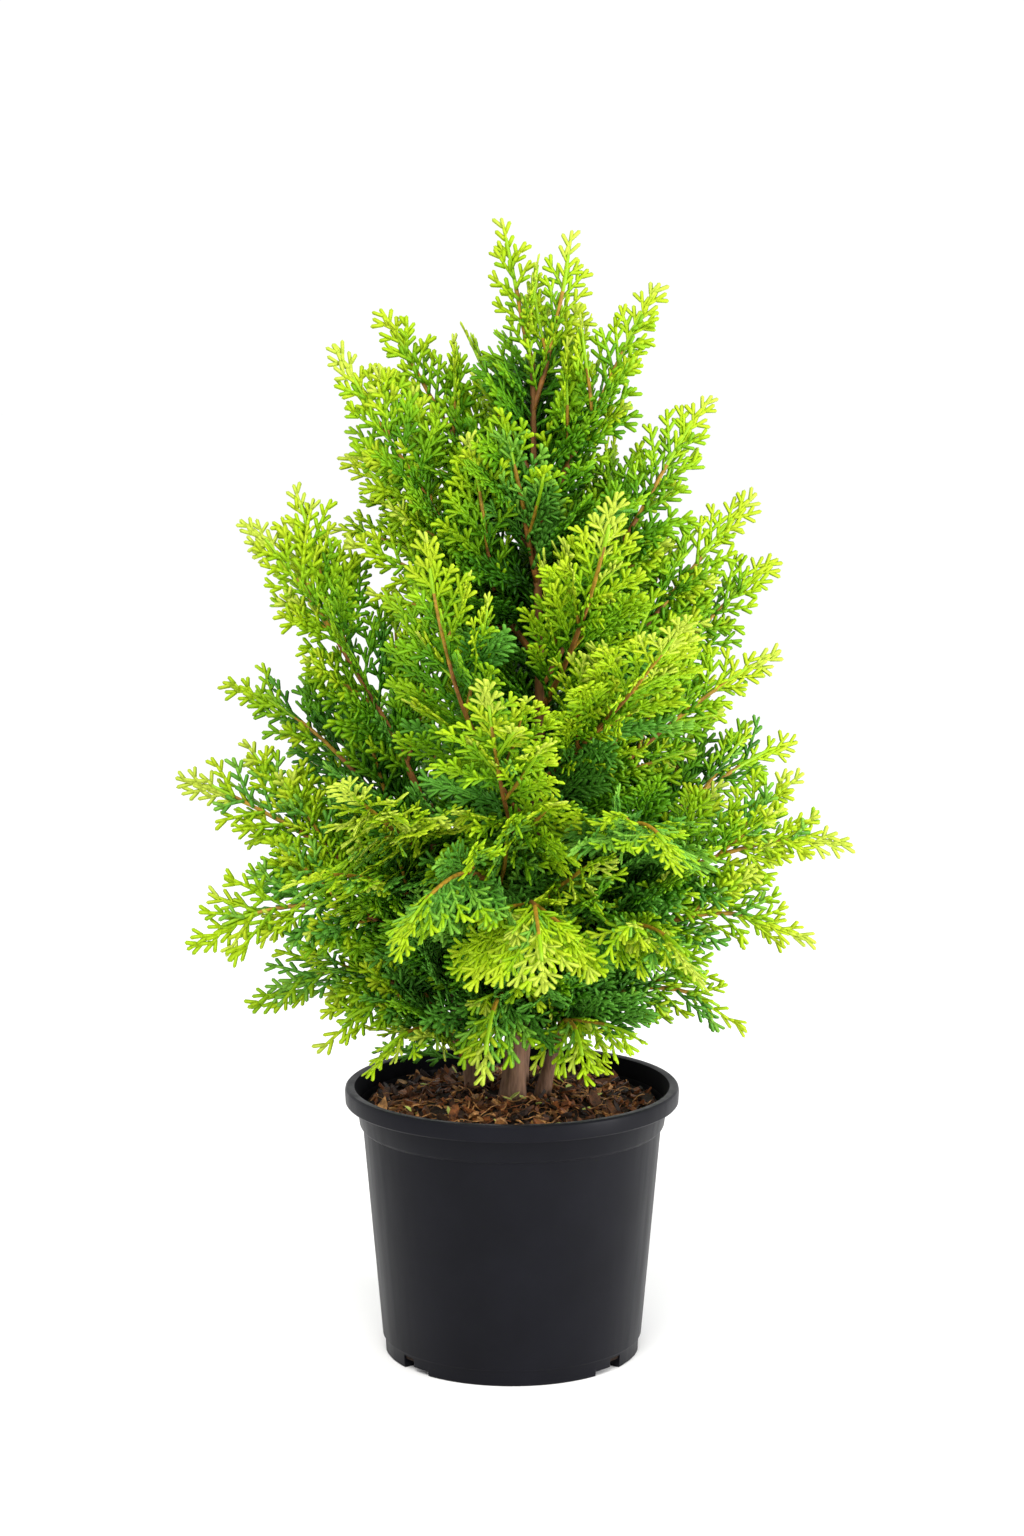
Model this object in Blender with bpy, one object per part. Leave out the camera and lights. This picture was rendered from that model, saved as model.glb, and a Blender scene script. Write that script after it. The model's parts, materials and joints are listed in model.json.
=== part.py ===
"""Potted thuja: a young bushy conifer with flat feathery sprays, in a black nursery pot.

Metres, +Z up. The origin is the middle of the pot's underside and the plant's front faces -Y.
The trunk and three lesser stems stand on the soil, boughs spring from them, and each mass of
foliage is one solid that grows on from its bough or straight from a stem.
"""

import math
import random
from collections import namedtuple

import bmesh
import bpy
import numpy as np
from mathutils import Matrix, Vector

# ---- clearances ----
GAP = 0.0003
LIMB_CLEARANCE = 0.0016
SPACE_MARGIN = 0.0030
POT_CLEARANCE = 0.003

# ---- pot: a 3 litre nursery pot ----
POT_SEGMENTS = 36
POT_HEIGHT = 0.154
RIM_RADIUS = 0.095
RIM_WIDTH = 0.0057
RIM_DEPTH = 0.010
BAND_DEPTH = 0.0137
BAND_TOP_RADIUS = 0.0885
BAND_FOOT_RADIUS = 0.0862
WALL_TOP_RADIUS = 0.0847
WALL_FOOT_RADIUS = 0.0741
WALL = 0.0017
FOOT_RADIUS = 0.0728
FOOT_HEIGHT = 0.0085
FOOT_WIDTH = 0.006
FLOOR_LIFT = 0.003
FLOOR_THICKNESS = 0.002
PAD_RADIUS = 0.020
NOTCH_HEIGHT = 0.0075
SIDE_NOTCH_ANGLES = (90, 270)
SIDE_NOTCH_WIDTH = 0.023
CORNER_NOTCH_ANGLES = (52.5, 127.5, 232.5, 307.5)
CORNER_NOTCH_WIDTH = 0.0090
RELIEF_ANGLES = (44.5, 135.5, 224.5, 315.5)
RELIEF_WIDTH = 0.0114
RELIEF_HEIGHT = 0.0028

# ---- soil ----
SOIL_SEGMENTS = 24
SOIL_TOP = 0.1475
SOIL_EDGE = 0.1420
SOIL_FLAT_RADIUS = 0.040
SOIL_LUMP = 0.0012

# ---- trunk and stems: x, y, height, radius ----
LIMB_FOOT = SOIL_TOP + GAP
LIMBS = {
    "trunk": (
        (0.0000, 0.000, LIMB_FOOT, 0.0086),
        (0.0008, 0.000, 0.156, 0.0070),
        (0.0040, 0.001, 0.200, 0.0061),
        (0.0105, 0.003, 0.262, 0.0051),
        (0.0155, 0.004, 0.329, 0.0043),
        (0.0154, 0.003, 0.402, 0.0035),
        (0.0125, 0.001, 0.485, 0.0027),
        (0.0113, 0.000, 0.560, 0.0019),
    ),
    "stem_right": (
        (0.0170, 0.006, LIMB_FOOT, 0.0052),
        (0.0195, 0.004, 0.157, 0.0043),
        (0.0310, -0.003, 0.195, 0.0038),
        (0.0470, -0.010, 0.245, 0.0032),
        (0.0620, -0.014, 0.295, 0.0024),
    ),
    "stem_left": (
        (-0.0220, 0.016, LIMB_FOOT, 0.0050),
        (-0.0240, 0.015, 0.157, 0.0042),
        (-0.0330, 0.010, 0.207, 0.0036),
        (-0.0420, 0.004, 0.262, 0.0030),
        (-0.0460, 0.000, 0.315, 0.0023),
    ),
    "stem_back": (
        (0.0050, 0.028, LIMB_FOOT, 0.0046),
        (0.0060, 0.030, 0.157, 0.0038),
        (0.0120, 0.044, 0.210, 0.0033),
        (0.0160, 0.056, 0.265, 0.0028),
        (0.0160, 0.062, 0.325, 0.0022),
    ),
}
TRUNK_SIDES = 10
STEM_SIDES = 8
FLARE_LOBES = 5
FLARE_SHARE = 0.12

# ---- planting plan ----
# A bough or a mass's own stem leaves its limb at the height "foot" and runs to a tip that stands
# "reach" from the pot's axis at "height". Azimuth is 0 at the front, 90 on the right, 180 behind.
# "arch" lifts the middle of the run by that share of its length; "bough" is the share of the run
# that is a separate bough, 0 where the mass is borne straight on the limb. "roll" is 90 where the
# sprays fan out upright and 0 where they fan out level.
Run = namedtuple("Run", "name limb foot azimuth reach height arch bough roll tint")
PLAN = (
    Run("leader_left", "trunk", 0.559, -90, 0.006, 0.642, 0.00, 0.00, 95, "green"),
    Run("leader_right", "trunk", 0.535, 90, 0.033, 0.636, -0.05, 0.00, 80, "green"),
    Run("left_1", "trunk", 0.452, -99, 0.074, 0.596, -0.05, 0.34, 80, "green"),
    Run("left_2", "trunk", 0.394, -78, 0.100, 0.573, -0.03, 0.34, 85, "lime"),
    Run("left_3", "stem_left", 0.305, -75, 0.153, 0.484, 0.08, 0.30, 80, "lime"),
    Run("left_4", "stem_left", 0.265, -100, 0.167, 0.387, 0.16, 0.00, 95, "deep"),
    Run("left_5", "stem_left", 0.235, -84, 0.188, 0.338, 0.08, 0.34, 80, "lime"),
    Run("left_6", "stem_left", 0.205, -74, 0.186, 0.246, 0.42, 0.34, 75, "lime"),
    Run("left_7", "stem_left", 0.180, -93, 0.151, 0.200, 0.42, 0.00, 95, "green"),
    Run("left_8", "stem_left", 0.169, -78, 0.112, 0.181, 0.60, 0.00, 60, "green"),
    Run("left_9", "stem_left", 0.250, -50, 0.158, 0.290, 0.16, 0.00, -30, "lime"),
    Run("right_1", "trunk", 0.466, 79, 0.082, 0.609, 0.00, 0.34, 90, "green"),
    Run("right_2", "trunk", 0.380, 93, 0.111, 0.548, 0.00, 0.36, 85, "green"),
    Run("right_3", "trunk", 0.340, 102, 0.141, 0.491, 0.00, 0.36, 95, "lime"),
    Run("right_4", "trunk", 0.312, 108, 0.160, 0.454, 0.02, 0.00, 100, "deep"),
    Run("right_5", "trunk", 0.284, 88, 0.150, 0.405, 0.08, 0.00, 80, "lime"),
    Run("right_6", "stem_right", 0.285, 104, 0.169, 0.349, 0.08, 0.00, 100, "deep"),
    Run("right_7", "stem_right", 0.245, 78, 0.192, 0.304, 0.20, 0.34, 80, "lime"),
    Run("right_8", "stem_right", 0.210, 80, 0.172, 0.245, 0.38, 0.34, 75, "lime"),
    Run("right_9", "stem_right", 0.188, 80, 0.134, 0.193, 0.42, 0.00, 70, "green"),
    Run("front_1", "trunk", 0.438, -10, 0.036, 0.542, 0.00, 0.00, 0, "blue"),
    Run("front_2", "trunk", 0.366, 33, 0.102, 0.498, -0.12, 0.00, 10, "yellow"),
    Run("front_3", "trunk", 0.298, -27, 0.101, 0.477, -0.20, 0.00, -10, "lime"),
    Run("front_4", "trunk", 0.326, 39, 0.149, 0.435, -0.06, 0.00, 15, "yellow"),
    Run("front_5", "trunk", 0.270, -7, 0.118, 0.405, -0.16, 0.00, 0, "lime"),
    Run("front_6", "stem_left", 0.285, -36, 0.158, 0.350, -0.04, 0.00, -30, "yellow"),
    Run("front_7", "stem_right", 0.265, 30, 0.170, 0.308, 0.40, 0.00, 15, "blue"),
    Run("front_8", "trunk", 0.238, -22, 0.163, 0.262, 0.46, 0.00, -15, "blue"),
    Run("front_9", "trunk", 0.224, 6, 0.160, 0.242, 0.50, 0.00, 0, "yellow"),
    Run("front_10", "trunk", 0.204, -12, 0.078, 0.172, 0.60, 0.00, 0, "green"),
    Run("front_11", "stem_right", 0.172, 26, 0.093, 0.176, 0.60, 0.00, 10, "yellow"),
    Run("front_12", "stem_left", 0.158, -56, 0.097, 0.174, 0.55, 0.00, -10, "yellow"),
    Run("front_13", "stem_right", 0.225, 42, 0.152, 0.240, 0.40, 0.00, 20, "green"),
    Run("back_1", "trunk", 0.480, 128, 0.056, 0.588, 0.00, 0.00, 40, "green"),
    Run("back_2", "trunk", 0.408, -118, 0.108, 0.515, -0.04, 0.00, 45, "green"),
    Run("back_11", "trunk", 0.494, -135, 0.044, 0.590, 0.00, 0.00, -40, "deep"),
    Run("back_3", "trunk", 0.354, 150, 0.112, 0.500, -0.04, 0.00, -20, "green"),
    Run("back_4", "stem_back", 0.315, -168, 0.135, 0.440, 0.00, 0.00, 0, "lime"),
    Run("back_5", "stem_back", 0.270, -138, 0.160, 0.370, 0.08, 0.00, 30, "blue"),
    Run("back_6", "stem_back", 0.255, 142, 0.165, 0.372, 0.08, 0.00, -25, "lime"),
    Run("back_7", "stem_back", 0.230, -176, 0.172, 0.280, 0.40, 0.00, 0, "green"),
    Run("back_8", "stem_back", 0.195, 132, 0.160, 0.236, 0.34, 0.00, -25, "green"),
    Run("back_9", "stem_left", 0.195, -135, 0.155, 0.236, 0.34, 0.00, 30, "deep"),
    Run("back_10", "stem_back", 0.176, 170, 0.118, 0.186, 0.55, 0.00, 0, "lime"),
)

# ---- boughs ----
BOUGH_SIDES = 6
BOUGH_RINGS = 5
BOUGH_FOOT_RADIUS = 0.0025
BOUGH_TIP_RADIUS = 0.0015

# ---- foliage ----
STEM_RADIUS = 0.0015
STEM_TIP_RADIUS = 0.0011
STEM_RINGS = 4
SPRAY_SPACING = 0.0190
SPRAY_LENGTH = 0.082
SPRAY_SHARE = 0.80
SPRAY_WIDTH_SHARE = 0.25
TIP_WIDTH_SHARE = 0.20
SPRAY_ANGLE = 44
LONG_SPRAY = 0.076
SHORT_SPRAY = 0.046
RIB_ROOT_RADIUS = 0.0006
RIB_HEIGHT = 0.0008
NOTCH_SHARE = 0.27
SHORTENINGS = (1.0, 0.84, 0.68, 0.54)
HANG_FROM = 0.36
HANG_DEPTH = 0.14
HANG_PULL = 0.9
TILTS = (0, 24, -24, 48, -48, 72, -72)
SPRAY_CLEARANCE = 0.003
INNER_PROBES = 4

# name: base colour, roughness
TINTS = {
    "lime": ("foliage_lime", (0.24, 0.44, 0.02), 0.55),
    "green": ("foliage_green", (0.09, 0.25, 0.02), 0.55),
    "deep": ("foliage_deep_green", (0.04, 0.14, 0.02), 0.55),
    "blue": ("foliage_blue_green", (0.10, 0.27, 0.06), 0.55),
    "yellow": ("foliage_yellow", (0.42, 0.55, 0.02), 0.55),
}
BARK = ("bark", (0.18, 0.13, 0.055), 0.85)
TWIG_BARK = ("twig_bark", (0.20, 0.10, 0.025), 0.7)
PLASTIC = ("pot_plastic", (0.022, 0.022, 0.025), 0.42)
COMPOST = ("compost", (0.045, 0.024, 0.012), 0.95)


def clear_scene():
    for item in list(bpy.data.objects):
        bpy.data.objects.remove(item, do_unlink=True)


def material(look):
    name, colour, roughness = look
    made = bpy.data.materials.get(name)
    if made is None:
        made = bpy.data.materials.new(name)
        made.use_nodes = True
        shader = made.node_tree.nodes["Principled BSDF"]
        shader.inputs["Base Color"].default_value = (*colour, 1.0)
        shader.inputs["Roughness"].default_value = roughness
        shader.inputs["Metallic"].default_value = 0.0
        made.diffuse_color = (*colour, 1.0)
    return made


def solid(name, verts, faces, look, smooth=False):
    """A closed mesh object with its faces turned outward."""
    mesh = bpy.data.meshes.new(name)
    mesh.from_pydata([tuple(v) for v in verts], [], faces)
    shape = bmesh.new()
    shape.from_mesh(mesh)
    bmesh.ops.recalc_face_normals(shape, faces=shape.faces)
    shape.to_mesh(mesh)
    shape.free()
    mesh.materials.append(material(look))
    if smooth:
        mesh.shade_smooth()
        mesh.set_sharp_from_angle(angle=math.radians(40))
    made = bpy.data.objects.new(name, mesh)
    bpy.context.scene.collection.objects.link(made)
    return made


def apply_boolean(target, operation, other=None, group=None):
    """Joins or cuts target with one object or with a whole collection, which is then removed."""
    step = target.modifiers.new("boolean", "BOOLEAN")
    step.operation = operation
    step.solver = "EXACT"
    if group is not None:
        step.operand_type = "COLLECTION"
        step.collection = group
    else:
        step.object = other
    bpy.context.view_layer.objects.active = target
    bpy.ops.object.modifier_apply(modifier=step.name)
    used = list(group.objects) if group is not None else [other]
    for item in used:
        bpy.data.objects.remove(item, do_unlink=True)
    if group is not None:
        bpy.data.collections.remove(group)


def keep_main_shell(made):
    """Drops loose scraps and fills sealed hollows: only the largest outer shell stays."""
    shape = bmesh.new()
    shape.from_mesh(made.data)
    bmesh.ops.triangulate(shape, faces=shape.faces)
    unseen = set(shape.verts)
    shells = []
    while unseen:
        front = [unseen.pop()]
        shell = set(front)
        while front:
            for edge in front.pop().link_edges:
                for vert in edge.verts:
                    if vert in unseen:
                        unseen.discard(vert)
                        shell.add(vert)
                        front.append(vert)
        shells.append(shell)
    shells.sort(key=len)
    for shell in shells[:-1]:
        bmesh.ops.delete(shape, geom=list(shell), context="VERTS")
    shape.to_mesh(made.data)
    shape.free()


# ---- pot and soil ----


def turned(name, profile, segments, look):
    """A solid of revolution from a profile of (radius, height) that starts and ends on the axis."""
    verts = [(0, 0, profile[0][1])]
    for radius, height in profile[1:-1]:
        for k in range(segments):
            angle = 2 * math.pi * k / segments
            verts.append((radius * math.sin(angle), -radius * math.cos(angle), height))
    verts.append((0, 0, profile[-1][1]))
    last = len(verts) - 1
    rings = len(profile) - 2
    faces = []
    for k in range(segments):
        k2 = (k + 1) % segments
        faces.append((0, 1 + k, 1 + k2))
        for r in range(rings - 1):
            a, b = 1 + r * segments, 1 + (r + 1) * segments
            faces.append((a + k, b + k, b + k2, a + k2))
        end = 1 + (rings - 1) * segments
        faces.append((end + k, last, end + k2))
    return solid(name, verts, faces, look, smooth=True)


def foot_cutter(angle, width, height):
    """A block across the foot ring at an angle from the front, reaching up from below the pot."""
    depth = 2.4 * FOOT_WIDTH
    low = -0.002
    corners = [
        (x, y, z)
        for z in (low, height)
        for x, y in (
            (-width / 2, -depth / 2),
            (width / 2, -depth / 2),
            (width / 2, depth / 2),
            (-width / 2, depth / 2),
        )
    ]
    turn = Matrix.Rotation(math.radians(angle), 3, "Z")
    middle = Vector((0, -FOOT_RADIUS, 0))
    verts = [turn @ (Vector(c) + middle) for c in corners]
    faces = [(0, 1, 2, 3), (4, 5, 6, 7)]
    faces += [(k, (k + 1) % 4, 4 + (k + 1) % 4, 4 + k) for k in range(4)]
    return solid("foot_cutter", verts, faces, PLASTIC)


def make_pot():
    band_top = POT_HEIGHT - RIM_DEPTH
    band_foot = band_top - BAND_DEPTH
    floor = FLOOR_LIFT + FLOOR_THICKNESS
    profile = (
        (0, 0),
        (PAD_RADIUS, 0),
        (PAD_RADIUS + 0.001, FLOOR_LIFT),
        (FOOT_RADIUS - FOOT_WIDTH - 0.001, FLOOR_LIFT),
        (FOOT_RADIUS - FOOT_WIDTH, 0),
        (FOOT_RADIUS - 0.0004, 0),
        (FOOT_RADIUS, FOOT_HEIGHT),
        (WALL_FOOT_RADIUS, FOOT_HEIGHT + 0.0008),
        (WALL_TOP_RADIUS, band_foot),
        (BAND_FOOT_RADIUS, band_foot + 0.0012),
        (BAND_TOP_RADIUS, band_top),
        (RIM_RADIUS - 0.0006, band_top + 0.0006),
        (RIM_RADIUS, POT_HEIGHT - 0.0015),
        (RIM_RADIUS - 0.0012, POT_HEIGHT),
        (RIM_RADIUS - RIM_WIDTH, POT_HEIGHT - 0.0004),
        (BAND_TOP_RADIUS - WALL, band_top + 0.002),
        (WALL_TOP_RADIUS - WALL, band_foot - 0.001),
        (WALL_FOOT_RADIUS - WALL, floor),
        (0, floor),
    )
    pot = turned("pot", profile, POT_SEGMENTS, PLASTIC)
    cuts = [(angle, SIDE_NOTCH_WIDTH, NOTCH_HEIGHT) for angle in SIDE_NOTCH_ANGLES]
    cuts += [(angle, CORNER_NOTCH_WIDTH, NOTCH_HEIGHT) for angle in CORNER_NOTCH_ANGLES]
    cuts += [(angle, RELIEF_WIDTH, RELIEF_HEIGHT) for angle in RELIEF_ANGLES]
    for cut in cuts:
        apply_boolean(pot, "DIFFERENCE", other=foot_cutter(*cut))
    return pot


def pot_inner_radius(height):
    """The radius of the pot's inside at a height between its floor and its band."""
    floor = FLOOR_LIFT + FLOOR_THICKNESS
    band_foot = POT_HEIGHT - RIM_DEPTH - BAND_DEPTH
    share = (height - floor) / (band_foot - 0.001 - floor)
    return WALL_FOOT_RADIUS - WALL + share * (WALL_TOP_RADIUS - WALL_FOOT_RADIUS)


def soil_height(radius, angle):
    """The mulch is level round the stems and sinks, a little lumpy, toward the pot's wall."""
    out = max(0.0, (radius - SOIL_FLAT_RADIUS) / (RIM_RADIUS - RIM_WIDTH - SOIL_FLAT_RADIUS))
    lump = math.sin(5 * angle + 90 * radius) * math.sin(3 * angle - 160 * radius)
    return SOIL_TOP - (SOIL_TOP - SOIL_EDGE) * out + SOIL_LUMP * lump * min(1.0, 3 * out)


def make_soil():
    floor = FLOOR_LIFT + FLOOR_THICKNESS + GAP
    band_foot = POT_HEIGHT - RIM_DEPTH - BAND_DEPTH
    side = [
        (pot_inner_radius(floor) - 2 * GAP, floor),
        (pot_inner_radius(band_foot - 0.002) - 2 * GAP, band_foot - 0.002),
    ]
    rings = [[(radius, height)] * SOIL_SEGMENTS for radius, height in side]
    edge = BAND_TOP_RADIUS - WALL - 0.0016
    for radius in (edge, 0.072, 0.056, SOIL_FLAT_RADIUS, 0.018):
        angles = (2 * math.pi * k / SOIL_SEGMENTS for k in range(SOIL_SEGMENTS))
        rings.append([(radius, soil_height(radius, angle)) for angle in angles])
    verts = [(0, 0, floor)]
    for ring in rings:
        for k, (radius, height) in enumerate(ring):
            angle = 2 * math.pi * k / SOIL_SEGMENTS
            verts.append((radius * math.sin(angle), -radius * math.cos(angle), height))
    verts.append((0, 0, SOIL_TOP))
    last = len(verts) - 1
    faces = []
    for k in range(SOIL_SEGMENTS):
        k2 = (k + 1) % SOIL_SEGMENTS
        faces.append((0, 1 + k, 1 + k2))
        for r in range(len(rings) - 1):
            a, b = 1 + r * SOIL_SEGMENTS, 1 + (r + 1) * SOIL_SEGMENTS
            faces.append((a + k, b + k, b + k2))
            faces.append((a + k, b + k2, a + k2))
        end = 1 + (len(rings) - 1) * SOIL_SEGMENTS
        faces.append((end + k, last, end + k2))
    return solid("soil", verts, faces, COMPOST)


# ---- limbs ----


def tube(name, points, radii, sides, look, level_foot=False, lobes=0):
    """A tapering closed tube along points; lobes swell a level foot into a root flare."""
    points = [Vector(p) for p in points]
    verts = []
    across = None
    for i, point in enumerate(points):
        ahead = points[min(i + 1, len(points) - 1)] - points[max(i - 1, 0)]
        ahead.normalize()
        if across is None:
            across = ahead.orthogonal().normalized()
        across = (across - ahead * across.dot(ahead)).normalized()
        if level_foot and i == 0:
            ahead = Vector((0, 0, 1))
            across = Vector((1, 0, 0))
        over = ahead.cross(across)
        for k in range(sides):
            angle = 2 * math.pi * k / sides
            swell = 1 + FLARE_SHARE * math.sin(lobes * angle) if lobes and i == 0 else 1
            reach = radii[i] * swell
            verts.append(point + reach * (math.cos(angle) * across + math.sin(angle) * over))
    faces = [tuple(range(sides))]
    for i in range(len(points) - 1):
        for k in range(sides):
            k2 = (k + 1) % sides
            a, b = i * sides, (i + 1) * sides
            faces.append((a + k, a + k2, b + k2, b + k))
    faces.append(tuple(range((len(points) - 1) * sides, len(points) * sides)))
    return solid(name, verts, faces, look, smooth=True)


def limb_at(limb, height):
    """The axis point and the radius of a limb at a height."""
    stations = LIMBS[limb]
    for low, high in zip(stations, stations[1:]):
        if height <= high[2] or high is stations[-1]:
            share = (height - low[2]) / (high[2] - low[2])
            mixed = [a + (b - a) * share for a, b in zip(low, high)]
            return Vector(mixed[:3]), mixed[3]


def make_limb(limb, grow=0.0, name=None):
    """A trunk or stem; grown a little, it is the cutter that keeps what it bears clear of it."""
    stations = LIMBS[limb]
    points = [Vector(s[:3]) for s in stations]
    if grow:
        points[-1] += (points[-1] - points[-2]).normalized() * grow
    sides = TRUNK_SIDES if limb == "trunk" else STEM_SIDES
    lobes = FLARE_LOBES if limb == "trunk" else 0
    radii = [s[3] + grow for s in stations]
    return tube(name or limb, points, radii, sides, BARK, level_foot=True, lobes=lobes)


# ---- runs: the curve of a bough and of the mass that it bears ----


class Path:
    """An arched curve from a limb to the furthest tip, measured along its length."""

    STEPS = 48

    def __init__(self, run):
        foot, _ = limb_at(run.limb, run.foot)
        turn = math.radians(run.azimuth)
        tip = Vector((run.reach * math.sin(turn), -run.reach * math.cos(turn), run.height))
        chord = tip - foot
        level = chord.cross(Vector((0, 0, 1)))
        lift = level.cross(chord).normalized()
        bend = (foot + tip) / 2 + lift * run.arch * chord.length
        self.points = []
        for i in range(self.STEPS + 1):
            t = i / self.STEPS
            point = foot * (1 - t) ** 2 + bend * 2 * t * (1 - t) + tip * t * t
            self.points.append(point)
        self.marks = [0.0]
        for a, b in zip(self.points, self.points[1:]):
            self.marks.append(self.marks[-1] + (b - a).length)
        self.length = self.marks[-1]
        self.tip = tip

    def at(self, distance):
        distance = min(max(distance, 0.0), self.length)
        for i in range(self.STEPS):
            if distance <= self.marks[i + 1]:
                break
        step = self.marks[i + 1] - self.marks[i]
        share = (distance - self.marks[i]) / step
        return self.points[i].lerp(self.points[i + 1], share)

    def heading(self, distance):
        return (self.at(distance + 0.002) - self.at(distance - 0.002)).normalized()

    def stretch(self, start, end, rings):
        return [self.at(start + (end - start) * i / (rings - 1)) for i in range(rings)]


def bough_end(run, path):
    return run.bough * path.length


def foliage_start(run, path):
    """Where the sprays of a mass begin along its run."""
    if run.bough:
        return bough_end(run, path) + 0.006
    return max(0.20 * path.length, 0.014)


def terminal_length(run, path):
    return min(0.052, 0.45 * (path.length - bough_end(run, path)))


def make_bough(run, path):
    points = path.stretch(0.0, bough_end(run, path) - GAP / 2, BOUGH_RINGS)
    taper = (BOUGH_FOOT_RADIUS - BOUGH_TIP_RADIUS) / (BOUGH_RINGS - 1)
    radii = [BOUGH_FOOT_RADIUS - taper * i for i in range(BOUGH_RINGS)]
    bough = tube("bough_" + run.name, points, radii, BOUGH_SIDES, TWIG_BARK)
    cutter = make_limb(run.limb, GAP, "limb_cutter")
    apply_boolean(bough, "DIFFERENCE", other=cutter)
    keep_main_shell(bough)
    return bough


# ---- foliage ----


def spray_frame(root, heading, normal):
    side = normal.cross(heading).normalized()
    over = heading.cross(side).normalized()
    return lambda x, y, z: root + heading * x + side * y + over * z


def leaf_pairs(length):
    return 4 if length > LONG_SPRAY else 3 if length > SHORT_SPRAY else 2


def spray_layout(length, leaves, width_share):
    """Along one spray: its notches and its leaf tips, each as a distance and a half width."""
    first = 0.15 * length
    step = 0.70 * length / leaves
    tips = []
    for k in range(leaves):
        share = (k + 0.5) / leaves
        width = width_share * length * (1.15 - 0.65 * share) * (0.80 + 0.35 * min(1, 2 * share))
        tips.append((first + step * (k + 0.30) + 1.05 * width, width))
    widths = [width for _, width in tips]
    widths = [widths[0] * 0.6] + widths
    notches = [(first + step * k, NOTCH_SHARE * widths[k]) for k in range(leaves + 1)]
    return notches, tips


def make_spray(root, heading, normal, length, leaves, width_share):
    """A toothed blade, ridged above and flat below, with pointed leaves on both sides."""
    place = spray_frame(root, heading, normal)
    notches, tips = spray_layout(length, leaves, width_share)
    sections = [(0.0, RIB_ROOT_RADIUS)] + notches
    verts = []
    for x, wide in sections:
        low = -0.7 * RIB_ROOT_RADIUS if x == 0.0 else -RIB_HEIGHT
        verts += [place(x, wide, low), place(x, 0, -low), place(x, -wide, low)]
    first_leaf = len(verts)
    for x, width in tips:
        verts += [place(x, width, -RIB_HEIGHT), place(x, -width, -RIB_HEIGHT)]
    verts.append(place(length, 0, 0))
    faces = [(0, 1, 2), *((k, (k + 1) % 3, 3 + (k + 1) % 3, 3 + k) for k in range(3))]
    for k in range(leaves):
        a, b = 3 + 3 * k, 6 + 3 * k
        left, right = first_leaf + 2 * k, first_leaf + 2 * k + 1
        for edge, leaf in ((0, left), (2, right)):
            faces += [(a + 1, leaf, a + edge), (a + 1, b + 1, leaf), (b + 1, b + edge, leaf)]
        faces += [(a, left, b), (a + 2, right, b + 2), (a, b, b + 2), (a, b + 2, a + 2)]
    end = 3 + 3 * leaves
    faces += [(end + k, end + (k + 1) % 3, len(verts) - 1) for k in range(3)]
    return solid("spray", verts, faces, TINTS["green"])


def spray_probes(root, heading, normal, length, leaves, width_share):
    """Points all over a spray, with which it is kept in its own space."""
    place = spray_frame(root, heading, normal)
    notches, tips = spray_layout(length, leaves, width_share)
    probes = [place(x, 0, 0) for x in np.linspace(0.2 * length, length, 14)]
    for k, (tip, width) in enumerate(tips):
        for share in (0.2, 0.4, 0.7, 1.0):
            for along in (0.1, 0.5, 0.9):
                base = notches[k][0] + along * (notches[k + 1][0] - notches[k][0])
                x = base + (tip - base) * share
                probes += [place(x, width * share, 0), place(x, -width * share, 0)]
    return np.array(probes)


class Space:
    """The room of each mass: nearer to its own run than to any other, clear of limbs and pot."""

    def __init__(self, paths):
        self.runs = {}
        limb_points = []
        limb_radii = []
        for limb in LIMBS:
            foot, top = LIMBS[limb][0][2], LIMBS[limb][-1][2]
            for height in np.arange(foot, top, 0.002):
                point, radius = limb_at(limb, height)
                limb_points.append(point)
                limb_radii.append(radius)
        for run in PLAN:
            path = paths[run.name]
            start = bough_end(run, path)
            reach = path.length - start
            count = max(4, int(reach / 0.003))
            self.runs[run.name] = np.array(path.stretch(start, path.length, count))
            for distance in np.arange(0.0, start, 0.002):
                limb_points.append(path.at(distance))
                limb_radii.append(BOUGH_FOOT_RADIUS)
        self.limb_points = np.array(limb_points)
        self.limb_radii = np.array(limb_radii)

    def holds(self, name, probes):
        others = np.concatenate([points for key, points in self.runs.items() if key != name])
        own = nearest(probes, self.runs[name])
        if np.any(own + SPACE_MARGIN > nearest(probes, others)):
            return False
        gaps = np.linalg.norm(probes[:, None] - self.limb_points[None], axis=2) - self.limb_radii
        return gaps.min() > LIMB_CLEARANCE and clear_of_pot(probes)


def clear_of_all(outer, placed):
    """Is the outer part of a spray clear of the stem and of the sprays that are already there?"""
    return all(nearest(outer, other).min() > SPRAY_CLEARANCE for other in placed)


def nearest(probes, points):
    return np.linalg.norm(probes[:, None] - points[None], axis=2).min(axis=1)


def clear_of_pot(probes):
    radius = np.hypot(probes[:, 0], probes[:, 1])
    above_rim = probes[:, 2] > POT_HEIGHT + POT_CLEARANCE
    inside = radius < RIM_RADIUS - RIM_WIDTH - POT_CLEARANCE
    above_soil = probes[:, 2] > SOIL_TOP + POT_CLEARANCE
    outside = radius > RIM_RADIUS + POT_CLEARANCE
    return bool(np.all(above_rim | (inside & above_soil) | outside))


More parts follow.
